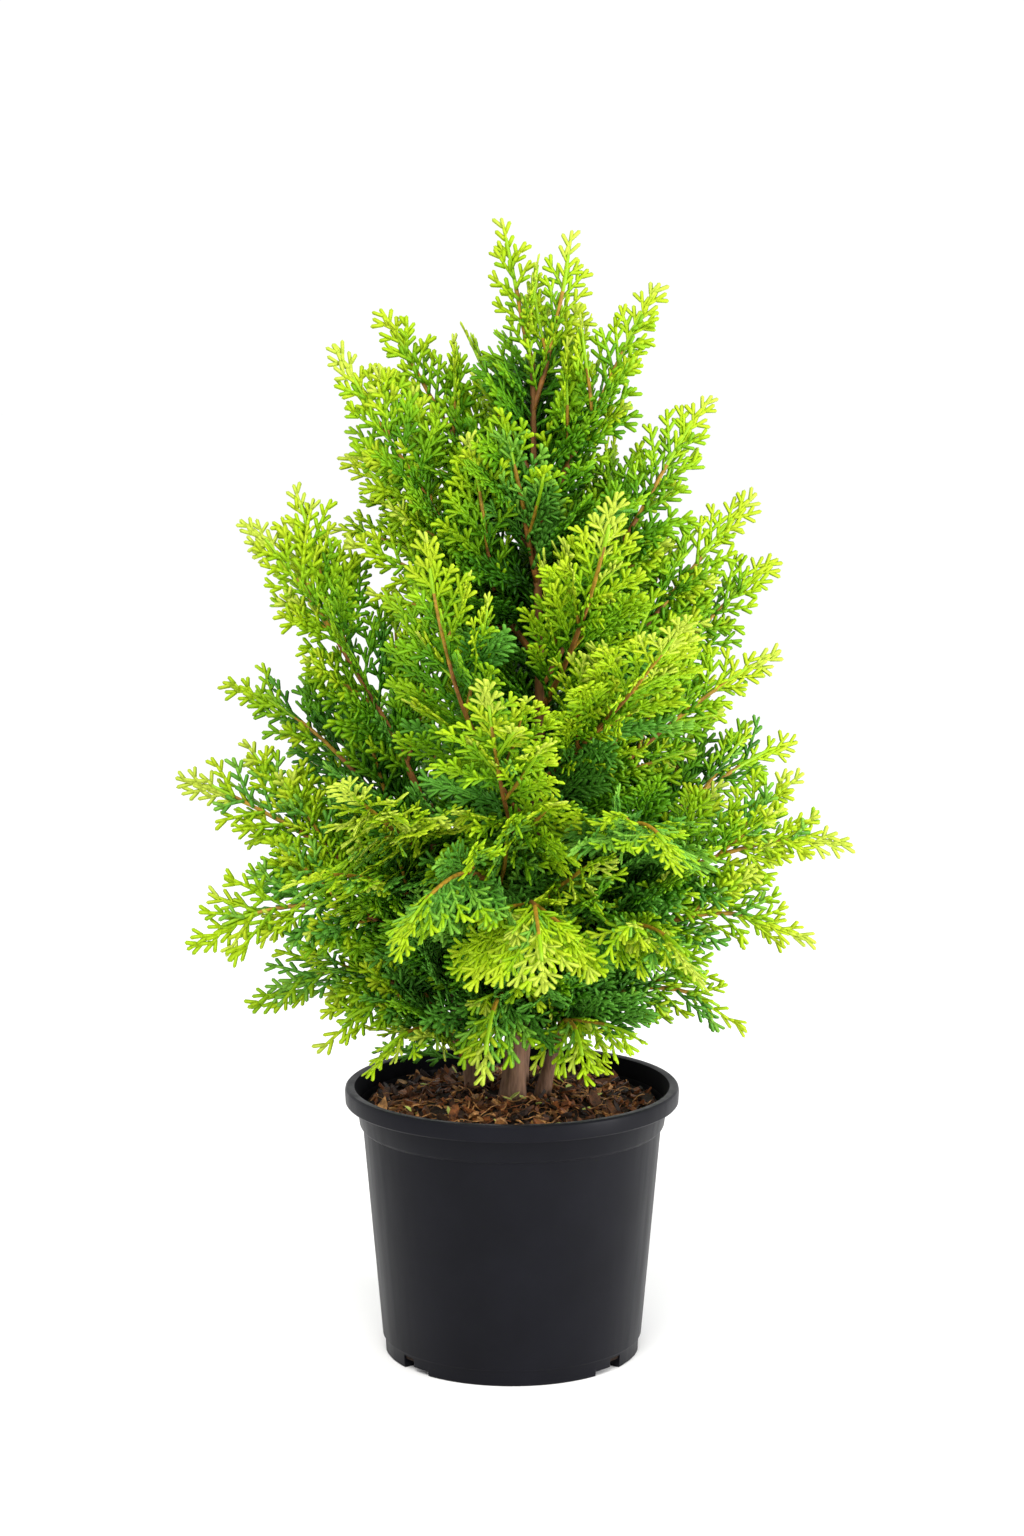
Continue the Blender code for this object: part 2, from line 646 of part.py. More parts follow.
def spray_places(run, path, rng):
    """Root, heading, normal and length of each side spray, alternately left and right."""
    start = foliage_start(run, path)
    end = path.length - 0.55 * terminal_length(run, path)
    longest = min(SPRAY_LENGTH, SPRAY_SHARE * (path.length - bough_end(run, path)))
    count = max(4, round((end - start) / SPRAY_SPACING))
    sign = rng.choice((-1, 1))
    for i in range(count + 1):
        distance = start + (end - start) * i / count
        ahead = path.heading(distance)
        level = ahead.cross(Vector((0, 0, 1))).normalized()
        upright = level.cross(ahead).normalized()
        roll = math.radians(run.roll + rng.uniform(-15, 15) + (70 if i % 3 == 2 else 0))
        sign = -sign
        side = (level * math.cos(roll) + upright * math.sin(roll)) * sign
        length = longest * (1.0 - 0.56 * i / count) * rng.uniform(0.92, 1.05)
        angle = math.radians(SPRAY_ANGLE + rng.uniform(-5, 5))
        yield path.at(distance), ahead, side, angle, length


def hung(root, ahead, side, angle, roll):
    """A spray's heading and normal: it hangs low in the crown, and face out if its fan is level."""
    hang = min(1.0, max(0.0, (HANG_FROM - root.z) / HANG_DEPTH))
    heading = ahead * math.cos(angle) + side * math.sin(angle) - Vector((0, 0, hang * HANG_PULL))
    heading.normalize()
    outward = Vector((root.x, root.y, 0.3 * root.xy.length)).normalized()
    normal = ahead.cross(side).normalized()
    if normal.dot(outward) < 0:
        normal.negate()
    normal = normal.lerp(outward, hang * (1 - abs(math.sin(math.radians(roll)))))
    return heading, (normal - heading * normal.dot(heading)).normalized()


def terminal_spray(run, path):
    """The spray that ends a mass at its furthest tip."""
    root = path.at(path.length - terminal_length(run, path))
    heading = path.tip - root
    level = heading.cross(Vector((0, 0, 1))).normalized()
    upright = level.cross(heading).normalized()
    roll = math.radians(run.roll)
    normal = heading.cross(level * math.cos(roll) + upright * math.sin(roll)).normalized()
    return root, heading.normalized(), normal, heading.length, 3, TIP_WIDTH_SHARE


def side_spray(run, place, placed, space):
    """The longest spray that has room at a place, leaning as little as it can; or none."""
    root, ahead, side, angle, length = place
    for share in SHORTENINGS:
        for tilt in TILTS:
            lean = Matrix.Rotation(math.radians(tilt), 3, ahead) @ side
            heading, normal = hung(root, ahead, lean, angle, run.roll)
            size = length * share
            spray = (root, heading, normal, size, leaf_pairs(size), SPRAY_WIDTH_SHARE)
            probes = spray_probes(*spray)
            if clear_of_all(probes[INNER_PROBES:], placed) and space.holds(run.name, probes):
                return spray
    return None


def choose_sprays(run, path, space):
    """The sprays of a mass: the terminal one, then each side spray that finds room."""
    rng = random.Random("foliage_" + run.name)
    sprays = [terminal_spray(run, path)]
    stem = path.stretch(0.0, path.length - terminal_length(run, path), 60)
    placed = [np.array(stem), spray_probes(*sprays[0])[INNER_PROBES:]]
    for place in spray_places(run, path, rng):
        spray = side_spray(run, place, placed, space)
        if spray is not None:
            sprays.append(spray)
            placed.append(spray_probes(*spray)[INNER_PROBES:])
    return sprays


def grow_mass(run, path, space):
    """The stem of a mass with its sprays fused on, in one closed solid."""
    look = TINTS[run.tint]
    group = bpy.data.collections.new("sprays")
    bpy.context.scene.collection.children.link(group)
    for spray in choose_sprays(run, path, space):
        blade = make_spray(*spray)
        bpy.context.scene.collection.objects.unlink(blade)
        group.objects.link(blade)
    start = bough_end(run, path) + GAP / 2 if run.bough else 0.0
    stop = path.length - 0.86 * terminal_length(run, path)
    points = path.stretch(start, stop, STEM_RINGS)
    taper = (STEM_RADIUS - STEM_TIP_RADIUS) / (STEM_RINGS - 1)
    radii = [STEM_RADIUS - taper * i for i in range(STEM_RINGS)]
    mass = tube("foliage_" + run.name, points, radii, 3, look)
    apply_boolean(mass, "UNION", group=group)
    if not run.bough:
        cutter = make_limb(run.limb, GAP, "limb_cutter")
        apply_boolean(mass, "DIFFERENCE", other=cutter)
    keep_main_shell(mass)
    mass.data.materials.clear()
    mass.data.materials.append(material(look))
    for face in mass.data.polygons:
        face.use_smooth = False
        face.material_index = 0
    return mass


def main():
    clear_scene()
    plant = bpy.data.objects.new("plant", None)
    bpy.context.scene.collection.objects.link(plant)
    parts = [make_pot(), make_soil()]
    parts += [make_limb(limb) for limb in LIMBS]
    paths = {run.name: Path(run) for run in PLAN}
    space = Space(paths)
    for run in PLAN:
        if run.bough:
            parts.append(make_bough(run, paths[run.name]))
        parts.append(grow_mass(run, paths[run.name], space))
    for part in parts:
        part.parent = plant


main()
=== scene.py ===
"""Potted thuja: the looks of a young bushy conifer in a black nursery pot.

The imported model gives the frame, and these pieces stand for its nodes: a moulded pot, a bed of
bark mulch, a trunk and stems with their bark, the twigs, and the flat fronds of scale leaves.
"""

import json
import math
import random
from collections import namedtuple

import bmesh
import bpy
import numpy as np
from bpy.props import FloatProperty, FloatVectorProperty, IntProperty, PointerProperty
from mathutils import Matrix, Vector, noise

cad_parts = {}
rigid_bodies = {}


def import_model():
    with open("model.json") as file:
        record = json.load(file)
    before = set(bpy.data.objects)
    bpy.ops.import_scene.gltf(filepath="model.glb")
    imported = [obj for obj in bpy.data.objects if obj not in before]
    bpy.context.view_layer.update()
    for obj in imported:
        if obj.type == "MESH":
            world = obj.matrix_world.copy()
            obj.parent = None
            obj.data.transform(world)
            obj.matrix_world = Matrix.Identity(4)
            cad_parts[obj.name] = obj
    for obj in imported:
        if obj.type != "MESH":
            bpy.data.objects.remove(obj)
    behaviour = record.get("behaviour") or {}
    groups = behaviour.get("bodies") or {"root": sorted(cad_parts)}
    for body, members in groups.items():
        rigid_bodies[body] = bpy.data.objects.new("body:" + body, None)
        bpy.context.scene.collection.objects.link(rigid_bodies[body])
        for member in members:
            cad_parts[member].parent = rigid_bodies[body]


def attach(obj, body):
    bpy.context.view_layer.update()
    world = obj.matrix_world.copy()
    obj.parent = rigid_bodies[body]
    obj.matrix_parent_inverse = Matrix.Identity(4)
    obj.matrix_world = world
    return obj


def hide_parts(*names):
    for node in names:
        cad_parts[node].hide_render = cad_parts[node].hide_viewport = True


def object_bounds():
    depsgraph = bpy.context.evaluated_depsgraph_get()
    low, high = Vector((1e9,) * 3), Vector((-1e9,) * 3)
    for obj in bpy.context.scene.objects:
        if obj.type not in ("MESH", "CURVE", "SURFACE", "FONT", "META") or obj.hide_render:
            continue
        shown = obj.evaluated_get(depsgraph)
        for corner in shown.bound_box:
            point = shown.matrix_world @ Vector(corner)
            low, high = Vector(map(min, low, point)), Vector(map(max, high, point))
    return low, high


bl_info = {
    "name": "Potted Thuja",
    "version": (1, 0, 0),
    "blender": (4, 5, 0),
    "location": "View3D > Sidebar > Thuja",
    "description": "Builds a young thuja in a nursery pot, leaf by leaf",
    "category": "Object",
}

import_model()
CAD_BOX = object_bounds()

# ---- pot and soil ----
POT_SEGMENTS = 128
POT_HEIGHT = 0.154
RIM_RADIUS = 0.095
RIM_WIDTH = 0.0057
SOIL_TOP = 0.1475
SOIL_EDGE = 0.1420
SOIL_FLAT_RADIUS = 0.040
SOIL_EDGE_RADIUS = 0.0852
# the whole profile, from the underside up the wall, over the rim and down inside: radius, height
POT_OUTSIDE = (
    (0.0210, 0.0030),
    (0.0658, 0.0030),
    (0.0668, 0.0000),
    (0.0722, 0.0000),
    (0.0728, 0.0006),
    (0.0732, 0.0082),
    (0.0737, 0.0092),
    (0.0742, 0.0094),
    (0.0848, 0.1300),
    (0.0852, 0.1305),
    (0.0862, 0.1314),
    (0.0866, 0.1322),
    (0.0885, 0.1437),
    (0.0890, 0.1441),
    (0.0940, 0.1444),
    (0.0947, 0.1452),
    (0.0950, 0.1512),
    (0.0946, 0.1531),
    (0.0937, 0.1540),
    (0.0905, 0.1540),
    (0.0896, 0.1536),
    (0.0891, 0.1526),
    (0.0869, 0.1462),
    (0.0866, 0.1440),
    (0.0831, 0.1295),
    (0.0724, 0.0060),
    (0.0716, 0.0050),
)
# angle from the front, width, height
FOOT_NOTCHES = tuple((angle, width, height) for angles, width, height in (
    ((90, 270), 0.0230, 0.0075),
    ((52.5, 127.5, 232.5, 307.5), 0.0090, 0.0075),
    ((44.5, 135.5, 224.5, 315.5), 0.0114, 0.0028),
) for angle in angles)

# ---- trunk and stems: x, y, height, radius ----
LIMB_FOOT = SOIL_TOP - 0.004
LIMBS = {
    "trunk": (
        (0.0000, 0.000, LIMB_FOOT, 0.0086),
        (0.0008, 0.000, 0.156, 0.0070),
        (0.0040, 0.001, 0.200, 0.0061),
        (0.0105, 0.003, 0.262, 0.0051),
        (0.0155, 0.004, 0.329, 0.0043),
        (0.0154, 0.003, 0.402, 0.0035),
        (0.0125, 0.001, 0.485, 0.0027),
        (0.0113, 0.000, 0.560, 0.0019),
    ),
    "stem_right": (
        (0.0170, 0.006, LIMB_FOOT, 0.0052),
        (0.0195, 0.004, 0.157, 0.0043),
        (0.0310, -0.003, 0.195, 0.0038),
        (0.0470, -0.010, 0.245, 0.0032),
        (0.0620, -0.014, 0.295, 0.0024),
    ),
    "stem_left": (
        (-0.0220, 0.016, LIMB_FOOT, 0.0050),
        (-0.0240, 0.015, 0.157, 0.0042),
        (-0.0330, 0.010, 0.207, 0.0036),
        (-0.0420, 0.004, 0.262, 0.0030),
        (-0.0460, 0.000, 0.315, 0.0023),
    ),
    "stem_back": (
        (0.0050, 0.028, LIMB_FOOT, 0.0046),
        (0.0060, 0.030, 0.157, 0.0038),
        (0.0120, 0.044, 0.210, 0.0033),
        (0.0160, 0.056, 0.265, 0.0028),
        (0.0160, 0.062, 0.325, 0.0022),
    ),
}

# ---- planting plan: where each bough leaves its limb and where its furthest tip stands ----
# Azimuth is 0 at the front and 90 on the right; reach is from the pot's axis. "arch" lifts the
# middle of the run, "bough" is its bare share, and "roll" is 90 where its fronds fan out upright.
Run = namedtuple("Run", "name limb foot azimuth reach height arch bough roll tint")
PLAN = (
    Run("leader_left", "trunk", 0.559, -90, 0.006, 0.642, 0.00, 0.00, 95, "lime"),
    Run("leader_right", "trunk", 0.535, 90, 0.033, 0.636, -0.05, 0.00, 80, "lime"),
    Run("left_1", "trunk", 0.452, -99, 0.074, 0.596, -0.05, 0.34, 80, "green"),
    Run("left_2", "trunk", 0.394, -78, 0.100, 0.573, -0.03, 0.34, 85, "lime"),
    Run("right_1", "trunk", 0.466, 79, 0.082, 0.609, 0.00, 0.34, 90, "green"),
    Run("right_2", "trunk", 0.380, 93, 0.111, 0.548, 0.00, 0.36, 85, "green"),
    Run("front_1", "trunk", 0.438, -10, 0.036, 0.542, 0.00, 0.00, 0, "blue"),
    Run("back_1", "trunk", 0.480, 128, 0.056, 0.588, 0.00, 0.00, 40, "green"),
    Run("back_11", "trunk", 0.494, -135, 0.044, 0.590, 0.00, 0.00, -35, "green"),
    Run("left_3", "stem_left", 0.305, -75, 0.153, 0.484, 0.08, 0.30, 80, "lime"),
    Run("left_4", "stem_left", 0.265, -100, 0.167, 0.387, 0.16, 0.00, 95, "deep"),
    Run("left_5", "stem_left", 0.235, -84, 0.188, 0.338, 0.08, 0.34, 80, "lime"),
    Run("left_6", "stem_left", 0.205, -74, 0.186, 0.246, 0.42, 0.34, 75, "lime"),
    Run("left_7", "stem_left", 0.180, -93, 0.151, 0.200, 0.42, 0.00, 95, "green"),
    Run("left_8", "stem_left", 0.169, -78, 0.112, 0.181, 0.60, 0.00, 60, "green"),
    Run("left_9", "stem_left", 0.250, -50, 0.158, 0.290, 0.16, 0.00, -30, "green"),
    Run("right_3", "trunk", 0.340, 102, 0.141, 0.491, 0.00, 0.36, 95, "lime"),
    Run("right_4", "trunk", 0.312, 108, 0.160, 0.454, 0.02, 0.00, 100, "deep"),
    Run("right_5", "trunk", 0.284, 88, 0.150, 0.405, 0.08, 0.00, 80, "lime"),
    Run("right_6", "stem_right", 0.285, 104, 0.169, 0.349, 0.08, 0.00, 100, "deep"),
    Run("right_7", "stem_right", 0.245, 78, 0.192, 0.304, 0.20, 0.34, 80, "lime"),
    Run("right_8", "stem_right", 0.210, 80, 0.172, 0.245, 0.38, 0.34, 75, "lime"),
    Run("right_9", "stem_right", 0.188, 80, 0.134, 0.193, 0.42, 0.00, 70, "green"),
    Run("front_2", "trunk", 0.366, 33, 0.102, 0.498, -0.12, 0.00, 10, "yellow"),
    Run("front_3", "trunk", 0.298, -27, 0.101, 0.477, -0.20, 0.00, -10, "lime"),
    Run("front_4", "trunk", 0.326, 39, 0.149, 0.435, -0.06, 0.00, 15, "yellow"),
    Run("front_5", "trunk", 0.270, -7, 0.118, 0.405, -0.16, 0.00, 0, "lime"),
    Run("front_6", "stem_left", 0.285, -36, 0.158, 0.350, -0.04, 0.00, -30, "yellow"),
    Run("front_7", "stem_right", 0.265, 30, 0.170, 0.308, 0.40, 0.00, 15, "blue"),
    Run("front_8", "trunk", 0.238, -22, 0.163, 0.262, 0.46, 0.00, -15, "blue"),
    Run("front_9", "trunk", 0.224, 6, 0.160, 0.242, 0.50, 0.00, 0, "yellow"),
    Run("front_10", "trunk", 0.204, -12, 0.078, 0.172, 0.60, 0.00, 0, "green"),
    Run("front_11", "stem_right", 0.172, 26, 0.093, 0.176, 0.60, 0.00, 10, "yellow"),
    Run("front_12", "stem_left", 0.158, -56, 0.097, 0.174, 0.55, 0.00, -10, "yellow"),
    Run("front_13", "stem_right", 0.225, 42, 0.152, 0.240, 0.40, 0.00, 20, "green"),
    Run("back_2", "trunk", 0.408, -118, 0.108, 0.515, -0.04, 0.00, 45, "green"),
    Run("back_3", "trunk", 0.354, 150, 0.112, 0.500, -0.04, 0.00, -20, "green"),
    Run("back_4", "stem_back", 0.315, -168, 0.135, 0.440, 0.00, 0.00, 0, "lime"),
    Run("back_5", "stem_back", 0.270, -138, 0.160, 0.370, 0.08, 0.00, 30, "blue"),
    Run("back_6", "stem_back", 0.255, 142, 0.165, 0.372, 0.08, 0.00, -25, "lime"),
    Run("back_7", "stem_back", 0.230, -176, 0.172, 0.280, 0.40, 0.00, 0, "green"),
    Run("back_8", "stem_back", 0.195, 132, 0.160, 0.236, 0.34, 0.00, -25, "green"),
    Run("back_9", "stem_left", 0.195, -135, 0.155, 0.236, 0.34, 0.00, 30, "deep"),
    Run("back_10", "stem_back", 0.176, 170, 0.118, 0.186, 0.55, 0.00, 0, "lime"),
)


def numbered(side, first, last):
    return tuple(f"{side}_{k}" for k in range(first, last + 1))


# pieces of the crown, and the runs that each one holds
CROWN_PIECES = {
    "foliage_top": ("leader_left", "leader_right", "left_1", "left_2", "right_1", "right_2",
                    "front_1", "back_1", "back_11"),
    "foliage_left": numbered("left", 3, 9),
    "foliage_right": numbered("right", 3, 9),
    "foliage_front_high": numbered("front", 2, 6),
    "foliage_front_low": numbered("front", 7, 13),
    "foliage_back_high": numbered("back", 2, 6),
    "foliage_back_low": numbered("back", 7, 10),
}

# the pieces that also hold the fronds on the trunk and stems, from a height up to a height
INNER_HOLDERS = {
    "foliage_top": (0.44, 1.0),
    "foliage_back_high": (0.36, 0.44),
    "foliage_front_high": (0.31, 0.36),
    "foliage_right": (0.265, 0.31),
    "foliage_left": (0.243, 0.265),
    "foliage_front_low": (0.22, 0.243),
    "foliage_back_low": (0.0, 0.22),
}

# side branches beside the dealt ones: share of the run, up or down, angle and length
SIDE_BRANCHES = {
    "left_2": ((0.20, -1, 34, 0.095), (0.11, -1, 42, 0.090)),
    "left_3": ((0.57, 1, 21, 0.090), (0.17, 1, 44, 0.110)),
    "left_5": ((0.55, 1, 30, 0.066),),
    "right_7": ((0.52, 1, 30, 0.070),),
    "back_2": ((0.48, -1, 42, 0.064),),
    "front_11": ((0.40, -1, 42, 0.060),),
    "front_13": ((0.45, 1, 34, 0.066),),
}

# masses whose fronds stay shorter than the rule says
SHORT_FRONDS = {"back_11": 0.60, "back_1": 0.75, "leader_left": 0.74, "leader_right": 0.78,
                "left_1": 0.84, "right_1": 0.84}

# ---- how fronds are dealt out along a run ----
HANG_FROM = 0.39
HANG_DEPTH = 0.16
HANG_PULL = 0.9
LIFT = 0.16
POT_CLEARANCE = 0.002
LIMB_CLEARANCE = 0.0008
REACH_SLACK = 0.006
TILTS = (0, 20, -20, 42, -42)
SHORTENINGS = (1.0, 0.82, 0.64, 0.48)
FROND_ANGLE = 37
FROND_INSET = 0.0012
AXIS_OVERLAP = 0.0008

# ---- how side branches are dealt out: share of the run, and how far the fan may twist ----
BRANCH_PLACES = ((0.24, 25), (0.36, 12), (0.48, 20), (0.60, 12), (0.72, 15))
BRANCH_LEAST_REST = 0.058
BRANCH_LEAST_FOOT = 0.016
BRANCH_LONGEST = 0.110

# noise_vector takes its offsets from the clock unless it has a seed other than 0
TWIG_SEED = 1

# ---- fronds on the trunk and stems ----
GOLDEN_ANGLE = 137.5
LIMB_WEIGHTS = (6, 1.6, 1.6, 1.6)
CROWN_TOP = 0.645

# ---- mulch: how far out it lies, and the room it leaves round each stem ----
STREW_RADIUS = 0.0825
CHIP_REACH = 0.083
FIBRE_REACH = 0.082
STEM_ROOM = 0.0035

# ---- camera ----
CAMERA_PLACE = (0.0, -1.787, 0.6023)
CAMERA_DIP = 8.494
CAMERA_LENS = 75.55
SENSOR_WIDTH = 36.0

# leaf tints from the dark inside to the young tips, with painted shade in the low steps and painted
# light in the top ones, and the place of each mass on that ladder
LADDER = ("leaf_shade", "leaf_deep", "leaf_mid", "leaf_green", "leaf_bright", "leaf_lime",
          "leaf_yellow", "leaf_pale")
BLUE_LADDER = ("leaf_shade", "leaf_deep", "leaf_blue_deep", "leaf_blue", "leaf_blue",
               "leaf_blue_pale", "leaf_bright", "leaf_lime")
TINT_LEVEL = {"deep": 0.34, "green": 0.48, "blue": 0.62, "lime": 0.55, "yellow": 0.72}


# ---------------------------------------------------------------- sizes and colours


def length_property(name, description, default, **more):
    return FloatProperty(name=name, description=description, default=default, min=0.0,
                         unit="LENGTH", precision=4, **more)


def colour_property(name, description, default):
    return FloatVectorProperty(name=name, description=description, default=default, size=3,
                               min=0.0, max=1.0, subtype="COLOR")


class PotSettings(bpy.types.PropertyGroup):
    plastic: colour_property("Plastic", "Colour of the moulded pot", (0.0051, 0.0052, 0.0078))
    roughness: FloatProperty(name="Roughness", description="How satin the plastic is",
                             default=0.40, min=0.0, max=1.0, subtype="FACTOR")
    grain: length_property("Grain", "Height of the moulded grain", 0.00006)


class MulchSettings(bpy.types.PropertyGroup):
    chips: IntProperty(name="Chips", description="Number of bark chips", default=1000, min=0)
    fibres: IntProperty(name="Fibres", description="Number of loose fibres", default=300, min=0)
    leaves: IntProperty(name="Fallen leaves", description="Number of pale fallen leaves",
                        default=22, min=0)
    chip_length: length_property("Chip length", "Length of the longest chips", 0.0155)
    chip_thickness: length_property("Chip thickness", "Thickness of a chip", 0.0018)
    lump: length_property("Lump", "Height of the lumps in the bed", 0.0024)
    leaf: colour_property("Fallen leaf", "Colour of the pale fallen leaves", (0.50, 0.56, 0.13))
    # the humus is moist and dark, and is made darker still as painted shade in the gaps between the
    # chips
    humus: colour_property("Humus", "Colour of the moist bed under the chips",
                           (0.014, 0.0062, 0.0025))


class BarkSettings(bpy.types.PropertyGroup):
    relief: length_property("Relief", "Depth of the furrows at the trunk's foot", 0.00030)
    bark: colour_property("Bark", "Colour of the old bark", (0.185, 0.104, 0.066))
    furrow: colour_property("Furrow", "Colour inside the furrows", (0.095, 0.048, 0.028))
    young_bark: colour_property("Young bark", "Colour of the upper stem", (0.17, 0.075, 0.022))
    twig: colour_property("Twig", "Colour of the older twigs", (0.25, 0.098, 0.017))
    young_twig: colour_property("Young twig", "Colour of twigs near their tips",
                                (0.36, 0.20, 0.014))


class LeafSettings(bpy.types.PropertyGroup):
    frond_step: length_property("Frond step", "Distance along a twig from frond to frond", 0.0084)
    frond_length: length_property("Frond length", "Length of the longest fronds", 0.060)
    branchlet_step: length_property("Branchlet step", "Distance from branchlet to branchlet",
                                    0.0048)
    branchlet_share: FloatProperty(name="Branchlet share", default=0.275, min=0.1, max=0.8,
                                   description="Longest branchlet as a share of its frond")
    shoot_step: length_property("Shoot step", "Distance from shoot to shoot", 0.0029)
    shoot_length: length_property("Shoot length", "Length of the last small shoots", 0.0084)
    shoot_width: length_property("Shoot width", "Width of the last small shoots", 0.0025)
    inner_fronds: IntProperty(name="Inner fronds", default=620, min=0,
                              description="Fronds borne straight on the trunk and stems")
    # leaf_shade is painted shade: a darker green for the leaves inside the crown
    leaf_shade: colour_property("Shade", "Leaves inside the crown", (0.017, 0.076, 0.004))
    leaf_deep: colour_property("Deep green", "Old leaves", (0.040, 0.162, 0.005))
    leaf_mid: colour_property("Mid green", "Leaves of the year before", (0.088, 0.268, 0.005))
    leaf_green: colour_property("Green", "Full-grown leaves", (0.168, 0.380, 0.006))
    leaf_bright: colour_property("Bright green", "Leaves of the year", (0.255, 0.465, 0.006))
    leaf_lime: colour_property("Lime", "Young leaves", (0.345, 0.530, 0.007))
    leaf_yellow: colour_property("Yellow green", "Youngest leaves", (0.395, 0.535, 0.014))
    # the palest young growth, made whiter as painted sheen where shoot tips stand in full light
    leaf_pale: colour_property("Pale", "Shoot tips in full light", (0.445, 0.565, 0.050))
    leaf_blue_deep: colour_property("Deep blue green", "Old leaves of bluish fronds",
                                    (0.046, 0.175, 0.014))
    leaf_blue: colour_property("Blue green", "Leaves of bluish fronds", (0.098, 0.300, 0.028))
    leaf_blue_pale: colour_property("Pale blue green", "Young leaves of bluish fronds",
                                    (0.185, 0.420, 0.038))


class StageSettings(bpy.types.PropertyGroup):
    floor: colour_property("Floor", "Colour of the floor", (0.96, 0.96, 0.96))
    sky: FloatProperty(name="Surround", description="Brightness of the white surround",
                       default=1.05, min=0.0)
    key: FloatProperty(name="Key light", description="Power of the large key light",
                       default=38.5, min=0.0, unit="POWER")
    fill: FloatProperty(name="Fill light", description="Power of the fill light",
                        default=21.5, min=0.0, unit="POWER")


# ---------------------------------------------------------------- small tools


def deselect():
    for item in bpy.context.view_layer.objects:
        item.select_set(False)
    bpy.context.view_layer.objects.active = None


def take(piece):
    deselect()
    piece.select_set(True)
    bpy.context.view_layer.objects.active = piece


def apply_place(piece):
    take(piece)
    bpy.ops.object.transform_apply(location=True, rotation=True, scale=True)


def apply_modifiers(piece):
    take(piece)
    for step in list(piece.modifiers):
        bpy.ops.object.modifier_apply(modifier=step.name)


def close_and_face_out(piece):
    take(piece)
    bpy.ops.object.mode_set(mode="EDIT")
    bpy.ops.mesh.select_all(action="SELECT")
    bpy.ops.mesh.remove_doubles(threshold=0.00001)
    bpy.ops.mesh.normals_make_consistent(inside=False)
    bpy.ops.object.mode_set(mode="OBJECT")


def select_edges(piece, wanted):
    """In edit mode, selects only the edges that pass the test."""
    bpy.ops.mesh.select_all(action="DESELECT")
    shape = bmesh.from_edit_mesh(piece.data)
    for edge in shape.edges:
        edge.select_set(wanted(edge))
    bmesh.update_edit_mesh(piece.data)


def at_height(edge, height):
    return all(abs(vert.co.z - height) < 1e-6 for vert in edge.verts)


def combine(piece, other, operation):
    """Joins another shape to the piece or cuts it away, and drops that shape."""
    step = piece.modifiers.new(operation.lower(), "BOOLEAN")
    step.operation = operation
    step.solver = "EXACT"
    step.object = other
    take(piece)
    bpy.ops.object.modifier_apply(modifier=step.name)
    bpy.data.objects.remove(other, do_unlink=True)


def hand_over(piece, slot, *nodes):
    """The finished piece rides with the plant and stands for its nodes."""
    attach(piece, "root")
    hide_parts(*nodes)


def mesh_from_arrays(name, verts, faces, materials, face_material=None, smooth=True):
    """A mesh object from an array of points and lists of faces with equal corners."""
    mesh = bpy.data.meshes.new(name)
    mesh.from_pydata(np.asarray(verts).tolist(), [], faces)
    for made in materials:
        mesh.materials.append(made)
    if face_material is not None:
        mesh.polygons.foreach_set("material_index", np.asarray(face_material, dtype=np.int32))
    mesh.polygons.foreach_set("use_smooth", np.full(len(mesh.polygons), smooth))
    mesh.update()
    piece = bpy.data.objects.new(name, mesh)
    bpy.context.scene.collection.objects.link(piece)
    return piece


# ---------------------------------------------------------------- materials


def principled(name, colour, roughness, specular=0.5):
    made = bpy.data.materials.new(name)
    made.use_nodes = True
    shader = made.node_tree.nodes["Principled BSDF"]
    shader.inputs["Base Color"].default_value = (*colour, 1.0)
    shader.inputs["Roughness"].default_value = roughness
    shader.inputs["Specular IOR Level"].default_value = specular
    made.diffuse_color = (*colour, 1.0)
    return made, shader


class Nodes:
    """Adds and joins nodes of one material."""

    def __init__(self, made):
        self.tree = made.node_tree

    def add(self, kind, inputs=None, **settings):
        node = self.tree.nodes.new(kind)
        for key, value in settings.items():
            setattr(node, key, value)
        for key, value in (inputs or {}).items():
            node.inputs[key].default_value = value
        return node

    def join(self, out, into):
        self.tree.links.new(out, into)

    def object_pattern(self, scale=(1, 1, 1)):
        place = self.add("ShaderNodeTexCoord")
        mapping = self.add("ShaderNodeMapping", {"Scale": scale})
        self.join(place.outputs["Object"], mapping.inputs["Vector"])
        return mapping.outputs["Vector"]

    def noise(self, vector, scale, detail=4.0, roughness=0.55):
        made = self.add("ShaderNodeTexNoise",
                        {"Scale": scale, "Detail": detail, "Roughness": roughness})
        self.join(vector, made.inputs["Vector"])
        return made.outputs["Fac"]

    def ramp(self, value, stops):
        made = self.add("ShaderNodeValToRGB")
        points = made.color_ramp.elements
        while len(points) < len(stops):
            points.new(0.5)
        for point, (place, colour) in zip(points, stops):
            point.position = place
            point.color = (*colour, 1.0)
        self.join(value, made.inputs["Fac"])
        return made.outputs["Color"]

    def bump(self, height, distance, strength=1.0, under=None):
        made = self.add("ShaderNodeBump", {"Distance": distance, "Strength": strength})
        self.join(height, made.inputs["Height"])
        if under is not None:
            self.join(under, made.inputs["Normal"])
        return made.outputs["Normal"]


def tone(colour, factor):
    return tuple(min(1.0, channel * factor) for channel in colour)


